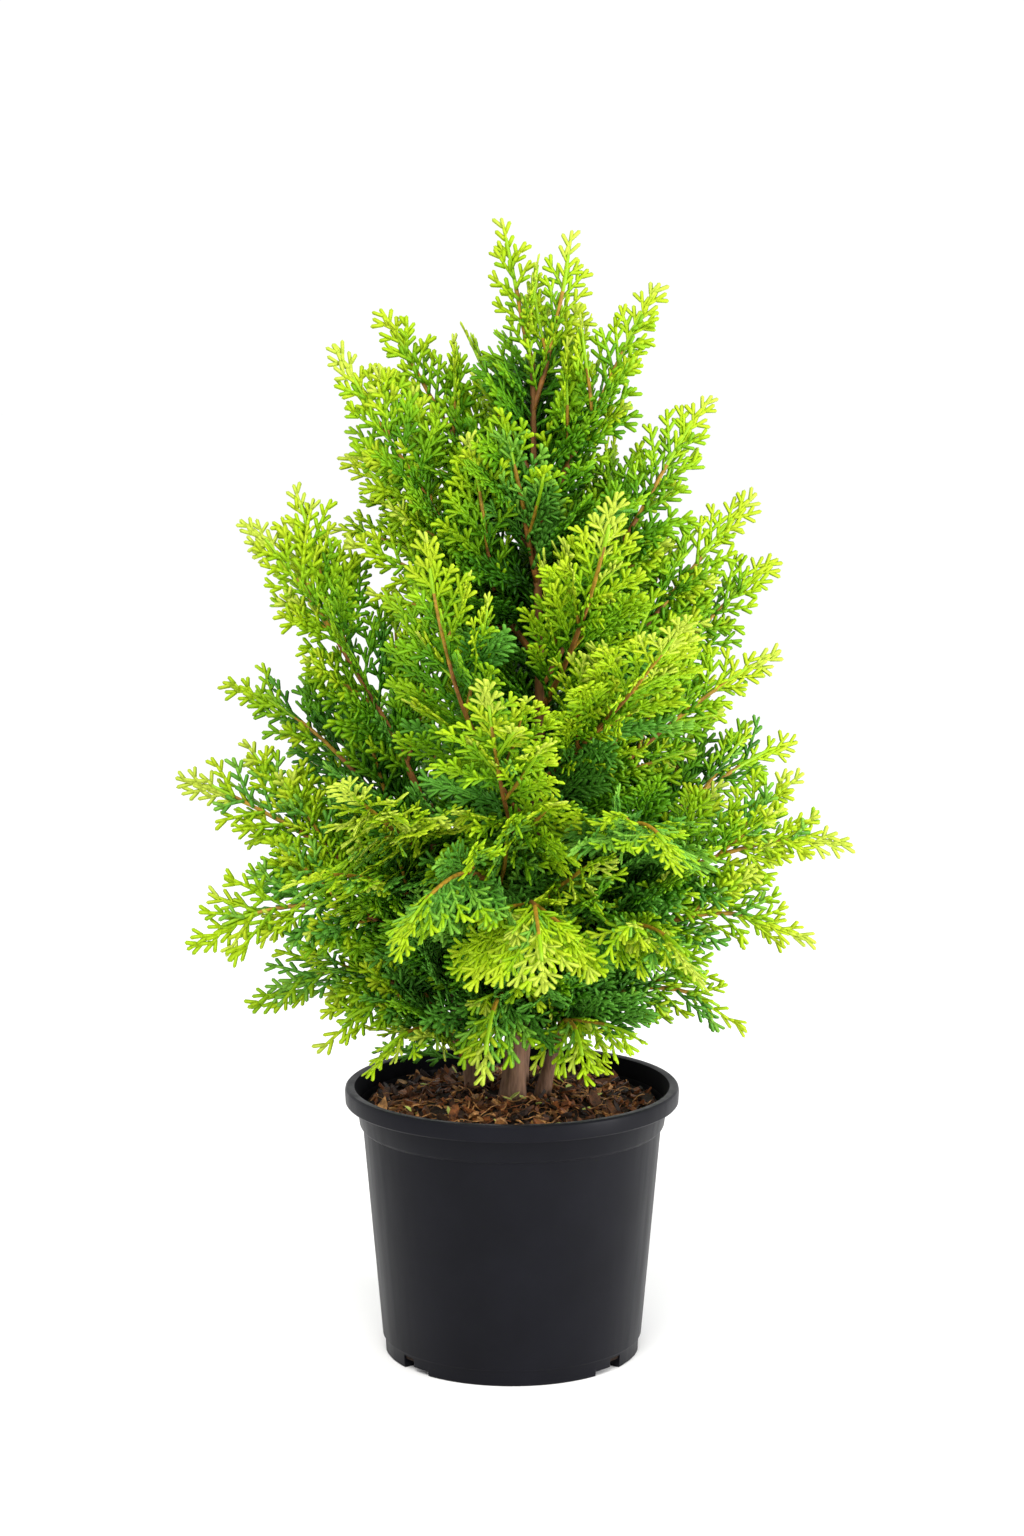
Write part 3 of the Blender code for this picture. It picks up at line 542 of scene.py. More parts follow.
def plastic_material(settings):
    made, shader = principled("pot_plastic", settings.plastic, settings.roughness, 0.085)
    nodes = Nodes(made)
    even = nodes.object_pattern()
    tall = nodes.object_pattern((1, 1, 0.05))
    cloud = nodes.noise(even, 26.0, 3.0)
    colour = nodes.ramp(cloud, ((0.30, tone(settings.plastic, 0.86)),
                                (0.70, tone(settings.plastic, 1.18))))
    nodes.join(colour, shader.inputs["Base Color"])
    streak = nodes.noise(tall, 160.0, 3.0)
    rough = nodes.add("ShaderNodeMapRange", {"From Min": 0.3, "From Max": 0.7,
                                             "To Min": settings.roughness - 0.045,
                                             "To Max": settings.roughness + 0.06})
    nodes.join(streak, rough.inputs["Value"])
    nodes.join(rough.outputs["Result"], shader.inputs["Roughness"])
    grain = nodes.bump(nodes.noise(even, 2600.0, 2.0), settings.grain, 0.35)
    flow = nodes.bump(streak, settings.grain * 2.0, 0.25, under=grain)
    nodes.join(flow, shader.inputs["Normal"])
    return made


def mulch_material(name, colour, roughness=0.55):
    made, shader = principled(name, colour, roughness, 0.28)
    nodes = Nodes(made)
    even = nodes.object_pattern()
    mottle = nodes.noise(even, 260.0, 5.0, 0.65)
    nodes.join(nodes.ramp(mottle, ((0.30, tone(colour, 0.22)), (0.50, colour),
                                   (0.70, tone(colour, 2.3)))), shader.inputs["Base Color"])
    nodes.join(nodes.bump(nodes.noise(even, 900.0, 4.0, 0.7), 0.0006, 0.8),
               shader.inputs["Normal"])
    return made


def bark_material(settings):
    made, shader = principled("bark", settings.bark, 0.8, 0.25)
    nodes = Nodes(made)
    long = nodes.object_pattern((1, 1, 0.12))
    even = nodes.object_pattern()
    strips = nodes.noise(long, 420.0, 5.0, 0.6)
    flakes = nodes.noise(even, 130.0, 4.0, 0.6)
    old = nodes.ramp(strips, ((0.30, settings.furrow), (0.47, settings.bark),
                              (0.72, tone(settings.bark, 1.55))))
    young = nodes.ramp(strips, ((0.28, tone(settings.young_bark, 0.40)),
                                (0.52, settings.young_bark),
                                (0.75, tone(settings.young_bark, 1.8))))
    place = nodes.add("ShaderNodeTexCoord")
    parts = nodes.add("ShaderNodeSeparateXYZ")
    nodes.join(place.outputs["Object"], parts.inputs["Vector"])
    lifted = nodes.add("ShaderNodeMath", {1: 0.16}, operation="MULTIPLY_ADD")
    nodes.join(flakes, lifted.inputs[0])
    nodes.join(parts.outputs["Z"], lifted.inputs[2])
    share = nodes.add("ShaderNodeMapRange", {"From Min": 0.24, "From Max": 0.38})
    nodes.join(lifted.outputs["Value"], share.inputs["Value"])
    mixed = nodes.add("ShaderNodeMix", data_type="RGBA")
    nodes.join(share.outputs["Result"], mixed.inputs["Factor"])
    nodes.join(old, mixed.inputs["A"])
    nodes.join(young, mixed.inputs["B"])
    nodes.join(mixed.outputs["Result"], shader.inputs["Base Color"])
    wide = nodes.bump(strips, 0.0010, 0.9)
    nodes.join(nodes.bump(flakes, 0.0006, 0.5, under=wide), shader.inputs["Normal"])
    return made


def twig_material(name, colour):
    made, shader = principled(name, colour, 0.55, 0.4)
    nodes = Nodes(made)
    even = nodes.object_pattern()
    bands = nodes.noise(even, 190.0, 3.0)
    nodes.join(nodes.ramp(bands, ((0.30, tone(colour, 0.55)), (0.55, colour),
                                  (0.78, tone(colour, 1.5)))), shader.inputs["Base Color"])
    nodes.join(nodes.bump(nodes.noise(even, 700.0, 2.0), 0.0003, 0.5), shader.inputs["Normal"])
    return made


def leaf_materials(settings, names):
    return [principled(name, getattr(settings, name), 0.42, 0.16)[0] for name in names]


# ---------------------------------------------------------------- pot


def lathe(name, profile, segments):
    """A turned shell: a circle is drawn out ring by ring along the profile, and its ends are left
    open.
    """
    radius, height = profile[0]
    deselect()
    bpy.ops.mesh.primitive_circle_add(vertices=segments, radius=radius, fill_type="NGON",
                                      location=(0, 0, height), rotation=(0, 0, 0))
    piece = bpy.context.object
    piece.name = name
    apply_place(piece)
    bpy.ops.object.mode_set(mode="EDIT")
    bpy.ops.mesh.select_mode(type="EDGE")
    bpy.ops.mesh.select_all(action="SELECT")
    bpy.ops.mesh.delete(type="ONLY_FACE")
    for (r1, z1), (r2, z2) in zip(profile, profile[1:]):
        select_edges(piece, lambda edge: at_height(edge, z1) and edge.is_boundary | edge.is_wire
                     and all(abs(v.co.xy.length - r1) < 1e-5 for v in edge.verts))
        bpy.ops.mesh.extrude_region_move(TRANSFORM_OT_translate={"value": (0, 0, z2 - z1)})
        scale = r2 / r1
        bpy.ops.transform.resize(value=(scale, scale, 1.0), center_override=(0, 0, z2))
    bpy.ops.object.mode_set(mode="OBJECT")
    return piece


def close_discs(piece, *heights):
    """Fills the open rings that lie at these heights."""
    for height in heights:
        bpy.ops.object.mode_set(mode="EDIT")
        select_edges(piece, lambda edge: edge.is_boundary and at_height(edge, height))
        bpy.ops.mesh.edge_face_add()
        bpy.ops.object.mode_set(mode="OBJECT")


def cut_notches(pot):
    for angle, width, height in FOOT_NOTCHES:
        turn = math.radians(angle)
        deselect()
        place = (0.070 * math.sin(turn), -0.070 * math.cos(turn), height / 2 - 0.002)
        bpy.ops.mesh.primitive_cube_add(size=1.0, location=place, rotation=(0, 0, turn))
        block = bpy.context.object
        block.scale = (width, 0.0150, height + 0.004)
        apply_place(block)
        combine(pot, block, "DIFFERENCE")


class THUJA_OT_pot(bpy.types.Operator):
    """Moulds the nursery pot with its rolled rim, band, drafted wall and notched foot"""

    bl_idname = "thuja.pot"
    bl_label = "Pot"

    def execute(self, context):
        settings = context.scene.thuja_pot
        pot = lathe("nursery_pot", POT_OUTSIDE, POT_SEGMENTS)
        close_discs(pot, POT_OUTSIDE[0][1], POT_OUTSIDE[-1][1])
        close_and_face_out(pot)
        cut_notches(pot)
        deselect()
        bpy.ops.mesh.primitive_cylinder_add(vertices=48, radius=0.020, depth=0.0032,
                                            location=(0, 0, 0.0016))
        pad = context.object
        apply_place(pad)
        combine(pot, pad, "UNION")
        edge = pot.modifiers.new("edges", "BEVEL")
        edge.width = 0.0005
        edge.segments = 3
        edge.limit_method = "ANGLE"
        edge.angle_limit = math.radians(50)
        apply_modifiers(pot)
        take(pot)
        bpy.ops.object.mode_set(mode="EDIT")
        bpy.ops.mesh.select_all(action="SELECT")
        bpy.ops.mesh.remove_doubles(threshold=1e-6)
        bpy.ops.mesh.dissolve_degenerate(threshold=1e-6)
        bpy.ops.object.mode_set(mode="OBJECT")
        bpy.ops.object.shade_smooth_by_angle(angle=math.radians(32))
        pot.data.materials.clear()
        pot.data.materials.append(plastic_material(settings))
        # the inside of the rim gets a darker, rougher copy of the plastic: painted shade in the
        # pot's mouth
        pot.data.materials.append(principled("pot_inside", tone(settings.plastic, 0.5), 0.7,
                                             0.03)[0])
        for face in pot.data.polygons:
            inward = -face.normal.xy.dot(face.center.xy.normalized())
            face.material_index = int(face.center.z > SOIL_TOP - 0.01 and inward > 0.5)
        hand_over(pot, "pot_plastic", "pot")
        return {"FINISHED"}


# ---------------------------------------------------------------- mulch


def bed_height(x, y):
    """The bed is level round the stems and sinks toward the pot's wall."""
    radius = math.hypot(x, y)
    out = max(0.0, (radius - SOIL_FLAT_RADIUS) / (SOIL_EDGE_RADIUS - SOIL_FLAT_RADIUS))
    return SOIL_TOP - 0.0012 - (SOIL_TOP - SOIL_EDGE) * out


def lumps(x, y, height):
    place = Vector((x, y, 0.0))
    return height * (noise.noise(place * 85) + 0.6 * noise.noise(place * 210 + Vector((7, 3, 1))))


class THUJA_OT_mulch_bed(bpy.types.Operator):
    """Fills the pot with a lumpy bed of moist humus"""

    bl_idname = "thuja.mulch_bed"
    bl_label = "Mulch bed"

    def execute(self, context):
        settings = context.scene.thuja_mulch
        rings = ((0.0719, 0.0053), (0.0826, 0.1280), (SOIL_EDGE_RADIUS, SOIL_EDGE - 0.002))
        rings += tuple((SOIL_EDGE_RADIUS * k / 30, SOIL_EDGE - 0.002 + (30 - k) * 0.00004)
                       for k in range(29, 0, -1))
        bed = lathe("mulch_bed", rings, 96)
        close_discs(bed, rings[0][1], rings[-1][1])
        close_and_face_out(bed)
        for vert in bed.data.vertices:
            if vert.co.z > SOIL_EDGE - 0.0025:
                x, y = vert.co.x, vert.co.y
                vert.co.z = bed_height(x, y) + lumps(x, y, settings.lump)
        bpy.ops.object.shade_smooth()
        bed.data.materials.clear()
        bed.data.materials.append(mulch_material("humus", settings.humus, 0.95))
        hand_over(bed, "compost", "soil")
        return {"FINISHED"}


def bed_places(rng, clear):
    """Endless places on the bed that lie clear of the stems."""
    while True:
        turn = rng.uniform(0, 2 * math.pi)
        radius = STREW_RADIUS * math.sqrt(rng.random())
        x, y = radius * math.sin(turn), -radius * math.cos(turn)
        stems = (LIMBS[limb][0] for limb in LIMBS)
        if all(math.hypot(x - s[0], y - s[1]) > s[3] + clear for s in stems):
            yield x, y


def chip(rng, x, y, settings, lift=0.0):
    """One curled flake of bark: a rough outline with two layers."""
    long = settings.chip_length * (0.28 + 0.72 * rng.random() ** 2.2)
    wide = long * rng.uniform(0.28, 0.62)
    thick = settings.chip_thickness * rng.uniform(0.5, 1.25)
    if lift:
        long, wide, thick = rng.uniform(0.005, 0.009), rng.uniform(0.0028, 0.0042), 0.0004
    corners = rng.randint(6, 8)
    curl = rng.uniform(-45, 60)
    outline = []
    for k in range(corners):
        angle = 2 * math.pi * (k + rng.uniform(-0.25, 0.25)) / corners
        swell = rng.uniform(0.72, 1.1)
        outline.append((long / 2 * swell * math.cos(angle), wide / 2 * swell * math.sin(angle)))
    tilt = rng.gauss(0, 26) if rng.random() < 0.8 else rng.uniform(-65, 65)
    turn = (Matrix.Rotation(rng.uniform(0, 2 * math.pi), 3, "Z")
            @ Matrix.Rotation(math.radians(tilt), 3, "Y")
            @ Matrix.Rotation(math.radians(rng.gauss(0, 16)), 3, "X"))
    lift += abs(math.sin(math.radians(tilt))) * long * 0.28 + rng.uniform(-0.0006, 0.0012)
    edge = math.hypot(x, y) + long / 2
    if edge > CHIP_REACH:
        shift = (edge - CHIP_REACH) / max(math.hypot(x, y), 1e-6)
        x, y = x * (1 - shift), y * (1 - shift)
    middle = Vector((x, y, bed_height(x, y) + lumps(x, y, settings.lump) + lift))
    verts = []
    for side, shrink in ((-1, 0.9), (1, 1.0)):
        for u, v in outline:
            rise = curl * (v * v - (wide / 4) ** 2) - 0.3 * curl * u * u
            verts.append(middle + turn @ Vector((u * shrink, v * shrink,
                                                 side * thick / 2 + rise)))
    faces = [tuple(reversed(range(corners))), tuple(range(corners, 2 * corners))]
    faces += [(k, (k + 1) % corners, corners + (k + 1) % corners, corners + k)
              for k in range(corners)]
    return verts, faces


def frames_along(points, first=None):
    """Each point of a curve with two directions across it, which don't twist about it."""
    across = first
    for i, point in enumerate(points):
        ahead = (points[min(i + 1, len(points) - 1)] - points[max(i - 1, 0)]).normalized()
        if across is None:
            across = ahead.orthogonal().normalized()
        across = (across - ahead * across.dot(ahead)).normalized()
        yield point, across, ahead.cross(across)


def strand(points, radii, sides):
    """A closed tube along points; returns its corners and faces."""
    points = [Vector(p) for p in points]
    verts = []
    for i, (point, across, over) in enumerate(frames_along(points)):
        for k in range(sides):
            angle = 2 * math.pi * k / sides
            verts.append(point + radii[i] * (math.cos(angle) * across + math.sin(angle) * over))
    faces = [tuple(reversed(range(sides)))]
    for i in range(len(points) - 1):
        a, b = i * sides, (i + 1) * sides
        faces += [(a + k, a + (k + 1) % sides, b + (k + 1) % sides, b + k) for k in range(sides)]
    faces.append(tuple(range((len(points) - 1) * sides, len(points) * sides)))
    return verts, faces


def fibre(rng, x, y, settings):
    """One thin curling fibre that lies on the bed."""
    heading = rng.uniform(0, 2 * math.pi)
    turning = rng.uniform(-1.1, 1.1)
    size = rng.uniform(0.006, 0.022)
    step = size / 6
    points = []
    for k in range(7):
        if math.hypot(x, y) > FIBRE_REACH:
            break
        rise = 0.0016 + 0.0018 * math.sin(math.pi * k / 6) + rng.uniform(-0.0003, 0.0003)
        points.append((x, y, bed_height(x, y) + lumps(x, y, settings.lump) + rise))
        heading += turning / 6 * 2
        x += step * math.cos(heading)
        y += step * math.sin(heading)
    thick = rng.uniform(0.00022, 0.00055)
    return points, [thick * (1 - 0.5 * k / 6) for k in range(len(points))]


class Heap:
    """Gathers many small closed shapes, each with its material, for one joined mesh."""

    def __init__(self):
        self.verts = []
        self.faces = []
        self.tints = []

    def add(self, verts, faces, tint):
        start = len(self.verts)
        self.verts.extend(verts)
        self.faces.extend(tuple(start + k for k in face) for face in faces)
        self.tints.extend([tint] * len(faces))

    def make(self, name, materials, smooth=False):
        return mesh_from_arrays(name, [tuple(v) for v in self.verts], self.faces, materials,
                                self.tints, smooth)


CHIP_TINTS = (
    ("chip_dark", (0.016, 0.0060, 0.0022), 0.28),
    ("chip_brown", (0.070, 0.0240, 0.0068), 0.34),
    ("chip_red", (0.170, 0.0540, 0.0138), 0.27),
    ("chip_tan", (0.350, 0.1680, 0.0560), 0.11),
)


def deal(rng, tints):
    """An index from a list of (name, colour, share)."""
    mark = rng.random() * sum(share for *_, share in tints)
    for index, (*_, share) in enumerate(tints):
        mark -= share
        if mark <= 0:
            return index
    return len(tints) - 1


class THUJA_OT_chips(bpy.types.Operator):
    """Strews bark chips and fibres over the bed"""

    bl_idname = "thuja.chips"
    bl_label = "Bark chips"

    def execute(self, context):
        settings = context.scene.thuja_mulch
        rng = random.Random("chips")
        heap = Heap()
        places = bed_places(rng, STEM_ROOM)
        for _ in range(settings.chips):
            x, y = next(places)
            heap.add(*chip(rng, x, y, settings), deal(rng, CHIP_TINTS))
        for _ in range(settings.fibres):
            x, y = next(places)
            points, radii = fibre(rng, x, y, settings)
            if len(points) > 2:
                heap.add(*strand(points, radii, 4), rng.choice((1, 2, 3, 3)))
        for _ in range(settings.leaves):
            x, y = next(places)
            heap.add(*chip(rng, x * 0.8, y * 0.8, settings, 0.0022), len(CHIP_TINTS))
        looks = [mulch_material(name, colour) for name, colour, _ in CHIP_TINTS]
        looks.append(principled("fallen_leaf", settings.leaf, 0.6, 0.2)[0])
        piece = heap.make("bark_chips", looks)
        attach(piece, "root")
        return {"FINISHED"}


# ---------------------------------------------------------------- trunk, stems and boughs


def limb_at(limb, height):
    """The axis point and the radius of a limb at a height."""
    stations = LIMBS[limb]
    for low, high in zip(stations, stations[1:]):
        if height <= high[2] or high is stations[-1]:
            share = (height - low[2]) / (high[2] - low[2])
            mixed = [a + (b - a) * share for a, b in zip(low, high)]
            return Vector(mixed[:3]), mixed[3]


class Path:
    """A curve with a foot and a tip, measured along its length."""

    STEPS = 40

    def __init__(self, foot, bend, tip, roll):
        self.points = []
        for i in range(self.STEPS + 1):
            t = i / self.STEPS
            self.points.append(foot * (1 - t) ** 2 + bend * 2 * t * (1 - t) + tip * t * t)
        self.marks = [0.0]
        for a, b in zip(self.points, self.points[1:]):
            self.marks.append(self.marks[-1] + (b - a).length)
        self.length = self.marks[-1]
        self.tip = tip
        self.roll = roll

    def at(self, distance):
        distance = min(max(distance, 0.0), self.length)
        for i in range(self.STEPS):
            if distance <= self.marks[i + 1]:
                break
        step = self.marks[i + 1] - self.marks[i]
        return self.points[i].lerp(self.points[i + 1], (distance - self.marks[i]) / step)

    def heading(self, distance):
        return (self.at(distance + 0.002) - self.at(distance - 0.002)).normalized()

    def across(self, distance, roll):
        """The sideways direction of a fan that is rolled about the curve."""
        ahead = self.heading(distance)
        level = ahead.cross(Vector((0, 0, 1))).normalized()
        return level * math.cos(roll) + level.cross(ahead).normalized() * math.sin(roll)

    def stretch(self, start, end, rings):
        return [self.at(start + (end - start) * i / (rings - 1)) for i in range(rings)]


def main_path(run):
    """The arched curve of a run, from its limb to its furthest tip."""
    foot, _ = limb_at(run.limb, run.foot)
    turn = math.radians(run.azimuth)
    tip = Vector((run.reach * math.sin(turn), -run.reach * math.cos(turn), run.height))
    chord = tip - foot
    lift = chord.cross(Vector((0, 0, 1))).cross(chord).normalized()
    return Path(foot, (foot + tip) / 2 + lift * run.arch * chord.length, tip, run.roll)


def branches(run):
    """The run itself and its side branches: (path, share of the run where it starts) each."""
    main = main_path(run)
    found = [(main, 0.0)]
    rng = random.Random("branches " + run.name)
    upper = 1 if main.across(0.5 * main.length, math.radians(run.roll)).z > 0 else -1
    hand = 1
    planned = []
    for place, spread in BRANCH_PLACES:
        place += rng.uniform(-0.04, 0.04)
        rest = (1 - place) * main.length
        if rest < BRANCH_LEAST_REST or place * main.length < BRANCH_LEAST_FOOT:
            continue
        length = min(BRANCH_LONGEST, 0.64 * rest) * rng.uniform(0.9, 1.08)
        length *= 1.0 if hand > 0 else 0.66
        planned.append((place, hand, rng.uniform(26, 36), length, rng.uniform(-2.2, 2.2) * spread))
        hand = -hand
    planned += [(*extra, 0.0) for extra in SIDE_BRANCHES.get(run.name, ())]
    for place, hand, angle, length, twist in planned:
        root = main.at(place * main.length)
        ahead = main.heading(place * main.length)
        roll = math.radians(run.roll + twist)
        side = main.across(place * main.length, roll) * hand * upper
        angle = math.radians(angle)
        hang = hanging(root)
        start = (ahead * math.cos(angle) + side * math.sin(angle)).normalized()
        end = (start + ahead * 0.25 - Vector((0, 0, 0.55 * hang))).normalized()
        for shorter in SHORTENINGS:
            bend = root + start * length * shorter * 0.5
            tip = bend + end * length * shorter * 0.5
            probes = np.array([tip, (bend + tip) / 2])
            if fits(probes):
                found.append((Path(root, bend, tip, math.degrees(roll)), place))
                break
    return found


def hanging(root):
    """How much the growth at a point hangs: most low down at the front and back."""
    low = min(1.0, max(0.0, (HANG_FROM - root.z) / HANG_DEPTH))
    return low * max(0.25, min(1.0, 1.4 * abs(root.y) / max(root.xy.length, 0.02)))


def terminal_length(path):
    return min(0.050, 0.36 * path.length)


def foliage_start(path, bare):
    """The first fronds stand a little way out from the limb."""
    return max(0.10 * path.length, 0.008, 0.5 * bare * path.length)


def bark_tube(name, points, radii, relief, sides, seed):
    """A cylinder with many rings, drawn along the points and furrowed like bark."""
    deselect()
    rings = len(points)
    bpy.ops.mesh.primitive_cylinder_add(vertices=sides, radius=1.0, depth=1.0,
                                        end_fill_type="NGON", location=(0, 0, 0.5))
    piece = bpy.context.object
    piece.name = name
    apply_place(piece)
    bpy.ops.object.mode_set(mode="EDIT")
    select_edges(piece, lambda edge: abs(edge.verts[0].co.z - edge.verts[1].co.z) > 0.5)
    bpy.ops.mesh.subdivide(number_cuts=rings - 2, smoothness=0.0)
    bpy.ops.object.mode_set(mode="OBJECT")
    frames = list(frames_along(points, Vector((1, 0, 0))))
    offset = Vector((seed * 3.7, seed * 1.9, 0.0))
    for vert in piece.data.vertices:
        i = round(vert.co.z * (rings - 1))
        point, across, over = frames[i]
        angle = math.atan2(vert.co.y, vert.co.x)
        around = Vector((math.cos(angle), math.sin(angle), 0.0))
        along = Vector((0, 0, i * (points[-1] - points[0]).length / rings))
        ridge = noise.noise(around * 3.4 + along * 26 + offset)
        fine = noise.noise(around * 7.5 + along * 60 + offset)
        reach = radii[i] + relief * min(1.0, radii[i] / 0.007) * (ridge + 0.6 * fine)
        vert.co = point + reach * (math.cos(angle) * across + math.sin(angle) * over)
    take(piece)
    bpy.ops.object.shade_smooth()
    return piece


def limb_rings(limb, step):
    stations = LIMBS[limb]
    foot, top = stations[0][2], stations[-1][2]
    count = max(8, round((top - foot) / step))
    found = [limb_at(limb, foot + (top - foot) * i / count) for i in range(count + 1)]
    points = [point for point, _ in found]
    for _ in range(6):
        points = ([points[0]] + [(a + 2 * b + c) / 4 for a, b, c in
                                 zip(points, points[1:], points[2:])] + [points[-1]])
    radii = [radius * (1.0 - 0.28 * min(1.0, 2.0 * i / count))
             for i, (_, radius) in enumerate(found)]
    return points, radii


class THUJA_OT_limbs(bpy.types.Operator):
    """Grows the trunk and stems, with furrowed bark and a flared foot"""

    bl_idname = "thuja.limbs"
    bl_label = "Trunk and stems"

    def execute(self, context):
        settings = context.scene.thuja_bark
        look = bark_material(settings)
        for seed, limb in enumerate(LIMBS):
            points, radii = limb_rings(limb, 0.0022)
            sides = 36 if limb == "trunk" else 24
            piece = bark_tube(limb + "_bark", points, radii, settings.relief, sides, seed + 1)
            piece.data.materials.clear()
            piece.data.materials.append(look)
            hand_over(piece, "bark", limb)
        return {"FINISHED"}


class THUJA_OT_twigs(bpy.types.Operator):
    """Grows each bough and twig from its limb, brown at its foot and green at its tip"""

    bl_idname = "thuja.twigs"
    bl_label = "Boughs and twigs"

    def grow(self, heap, path, thick, rng):
        """A crooked twig along a path that thins out and turns green toward its tip."""
        rings = max(10, round(path.length / 0.0075))
        points = path.stretch(0.0, path.length - 0.45 * terminal_length(path), rings)
        wander = Vector((rng.uniform(0, 9), rng.uniform(0, 9), 0))
        radii = []
        for i, point in enumerate(points):
            share = i / (rings - 1)
            crook = noise.noise_vector(point * 24 + wander) * 0.0012
            knot = 1 + 0.12 * noise.noise(point * 260)
            points[i] = point + crook * math.sin(math.pi * share)
            radii.append((thick * (1 - share) + 0.0009 * share) * knot)
        verts, faces = strand(points, radii, 6)
        start = len(heap.faces)
        heap.add(verts, faces, 0)
        green = path.length - rng.uniform(0.024, 0.036)
        for k in range(len(faces)):
            gone = (k / 6) / rings * path.length
            heap.tints[start + k] = 0 if gone < green - 0.04 else 1 if gone < green else 2

    def execute(self, context):
        settings = context.scene.thuja_bark
        noise.seed_set(TWIG_SEED)
        heap = Heap()
        for run in PLAN:
            rng = random.Random("twig " + run.name)
            for path, place in branches(run):
                thick = 0.0014 if place else 0.0022 if run.bough else 0.0018
                self.grow(heap, path, thick * min(1.0, 0.55 + path.length / 0.25), rng)
        leaf = bpy.context.scene.thuja_leaf
        looks = [twig_material("twig", settings.twig),
                 twig_material("young_twig", settings.young_twig),
                 principled("twig_green", leaf.leaf_bright, 0.5, 0.3)[0]]
        piece = heap.make("twigs", looks, smooth=True)
        boughs = ["bough_" + run.name for run in PLAN if run.bough]
        hand_over(piece, "twig_bark", *boughs)
        return {"FINISHED"}


# ---------------------------------------------------------------- fronds


# the kinds of part in a frond
AXIS, SHOOT = 0, 1


class Spray:
    """One flat frond in its own plane: its axes and the small shoots along them."""

    def __init__(self, length, leaf, rng, bend=None, breadth=1.0):
        self.rows = []
        self.leaf = leaf
        self.rng = rng
        self.length = length
        self.bend = rng.uniform(-0.26, 0.26) if bend is None else bend
        self.breadth = leaf.branchlet_share * breadth * rng.uniform(0.88, 1.16)
        self.rachis()

    def add(self, x, y, heading, size, width, share, kind, lift):
        """A straight part from a point of the frond's plane; lift is its rise at each end."""
        self.rows.append((x, y, lift[0], x + size * math.cos(heading),
                          y + size * math.sin(heading), lift[1], width, share, kind))

    def axis(self, x, y, heading, size, width, share, lift=(0.0, 0.0)):
        """A stretch of axis, which starts a little inside the stretch before it."""
        c, s = math.cos(heading), math.sin(heading)
        self.add(x - AXIS_OVERLAP * c, y - AXIS_OVERLAP * s, heading, size + AXIS_OVERLAP, width,
                 share, AXIS, lift)
        return x + size * c, y + size * s

    def shoot(self, x, y, heading, size, share, lift=(0.0, 0.0)):
        width = self.leaf.shoot_width * self.rng.uniform(0.90, 1.08)
        self.add(x, y, heading, size, width, share, SHOOT, lift)

    def rachis(self):
        """The middle axis: bare at its foot, then a branchlet to the left and right in turn."""
        leaf, rng = self.leaf, self.rng
        end = self.length - 0.80 * leaf.shoot_length
        count = max(3, round(end / min(leaf.branchlet_step, 0.0026 + 0.050 * self.length)))
        step = end / count
        x = y = heading = 0.0
        side = rng.choice((-1, 1))
        for i in range(count):
            share = (i + 1) / count
            heading = self.bend * share
            width = leaf.shoot_width * (0.84 - 0.08 * share)
            x, y = self.axis(x, y, heading, step, width, share)
            if share < 0.09:
                continue
            side = -side
            rest = self.length - (i + 1) * step
            size = min(self.breadth * self.length, 0.52 * rest + 0.0048)
            size *= min(1.0, 0.55 + 1.8 * share) * rng.uniform(0.86, 1.10)
            lean = heading + side * math.radians(rng.uniform(37, 44) - 8 * share)
            self.branchlet(x, y, lean, side, size, share)
        self.shoot(x - 0.0010 * math.cos(heading), y - 0.0010 * math.sin(heading), heading,
                   0.92 * leaf.shoot_length, 1.0)

    def branchlet(self, x, y, heading, side, size, share):
        """A side axis that curves toward the frond's tip, with shoots to both sides in turn."""
        leaf, rng = self.leaf, self.rng
        if size < 1.25 * leaf.shoot_length:
            size = min(max(size, 0.9 * leaf.shoot_length), 1.15 * leaf.shoot_length)
            self.shoot(x, y, heading, size, share, (0.0, rng.uniform(-0.2, 0.2) * size))
            return
        bare = size - 0.90 * leaf.shoot_length
        count = max(1, round(bare / leaf.shoot_step))
        step = bare / count
        curve = -side * rng.uniform(0.10, 0.32)
        turn = side
        slope = rng.uniform(-0.14, 0.14)
        started = (x, y, 0.0)
        for k in range(count):
            angle = heading + curve * (k + 0.5) / count
            x, y = x + step * math.cos(angle), y + step * math.sin(angle)
            rest = size - (k + 1) * step
            rise = slope * (k + 1) * step
            if k % 2 or k == count - 1:
                gone = math.hypot(x - started[0], y - started[1])
                self.axis(*started[:2], math.atan2(y - started[1], x - started[0]), gone,
                          leaf.shoot_width * 0.78, share, (started[2], rise))
                started = (x, y, rise)
            if (k + 1) * step < 0.0022:
                continue
            turn = -turn
            lean = angle + turn * math.radians(rng.uniform(35, 43))
            reach = min(leaf.shoot_length, 0.32 * rest + 0.0050) * rng.uniform(0.88, 1.10)
            self.shoot(x, y, lean, reach, share, (rise, rise + rng.uniform(-0.15, 0.15) * reach))
        self.shoot(x - 0.0008 * math.cos(angle), y - 0.0008 * math.sin(angle), angle,
                   leaf.shoot_length * rng.uniform(0.92, 1.08), share, (rise, rise + slope * 0.006))

    def laid_out(self, root, heading, normal):
        """Puts the frond in place, drooping along it and cupped across it."""
        flat = np.array(self.rows)
        droop = self.rng.uniform(0.4, 2.8)
        cup = self.rng.uniform(-4.0, 12.0)
        side = normal.cross(heading).normalized()
        root, heading, normal, side = (np.array(v) for v in (root, heading, normal, side))
        placed = []
        for x, y, rise in (flat[:, 0:3].T[:, :, None], flat[:, 3:6].T[:, :, None]):
            down = np.array((0.0, 0.0, -1.0))
            placed.append(root + x * heading + y * side + normal * (rise - cup * y ** 2)
                          + down * droop * x ** 2)
        return Frond(*placed, flat[:, 6], flat[:, 7], flat[:, 8], np.array(normal))


Frond = namedtuple("Frond", "starts ends widths shares kinds normal")


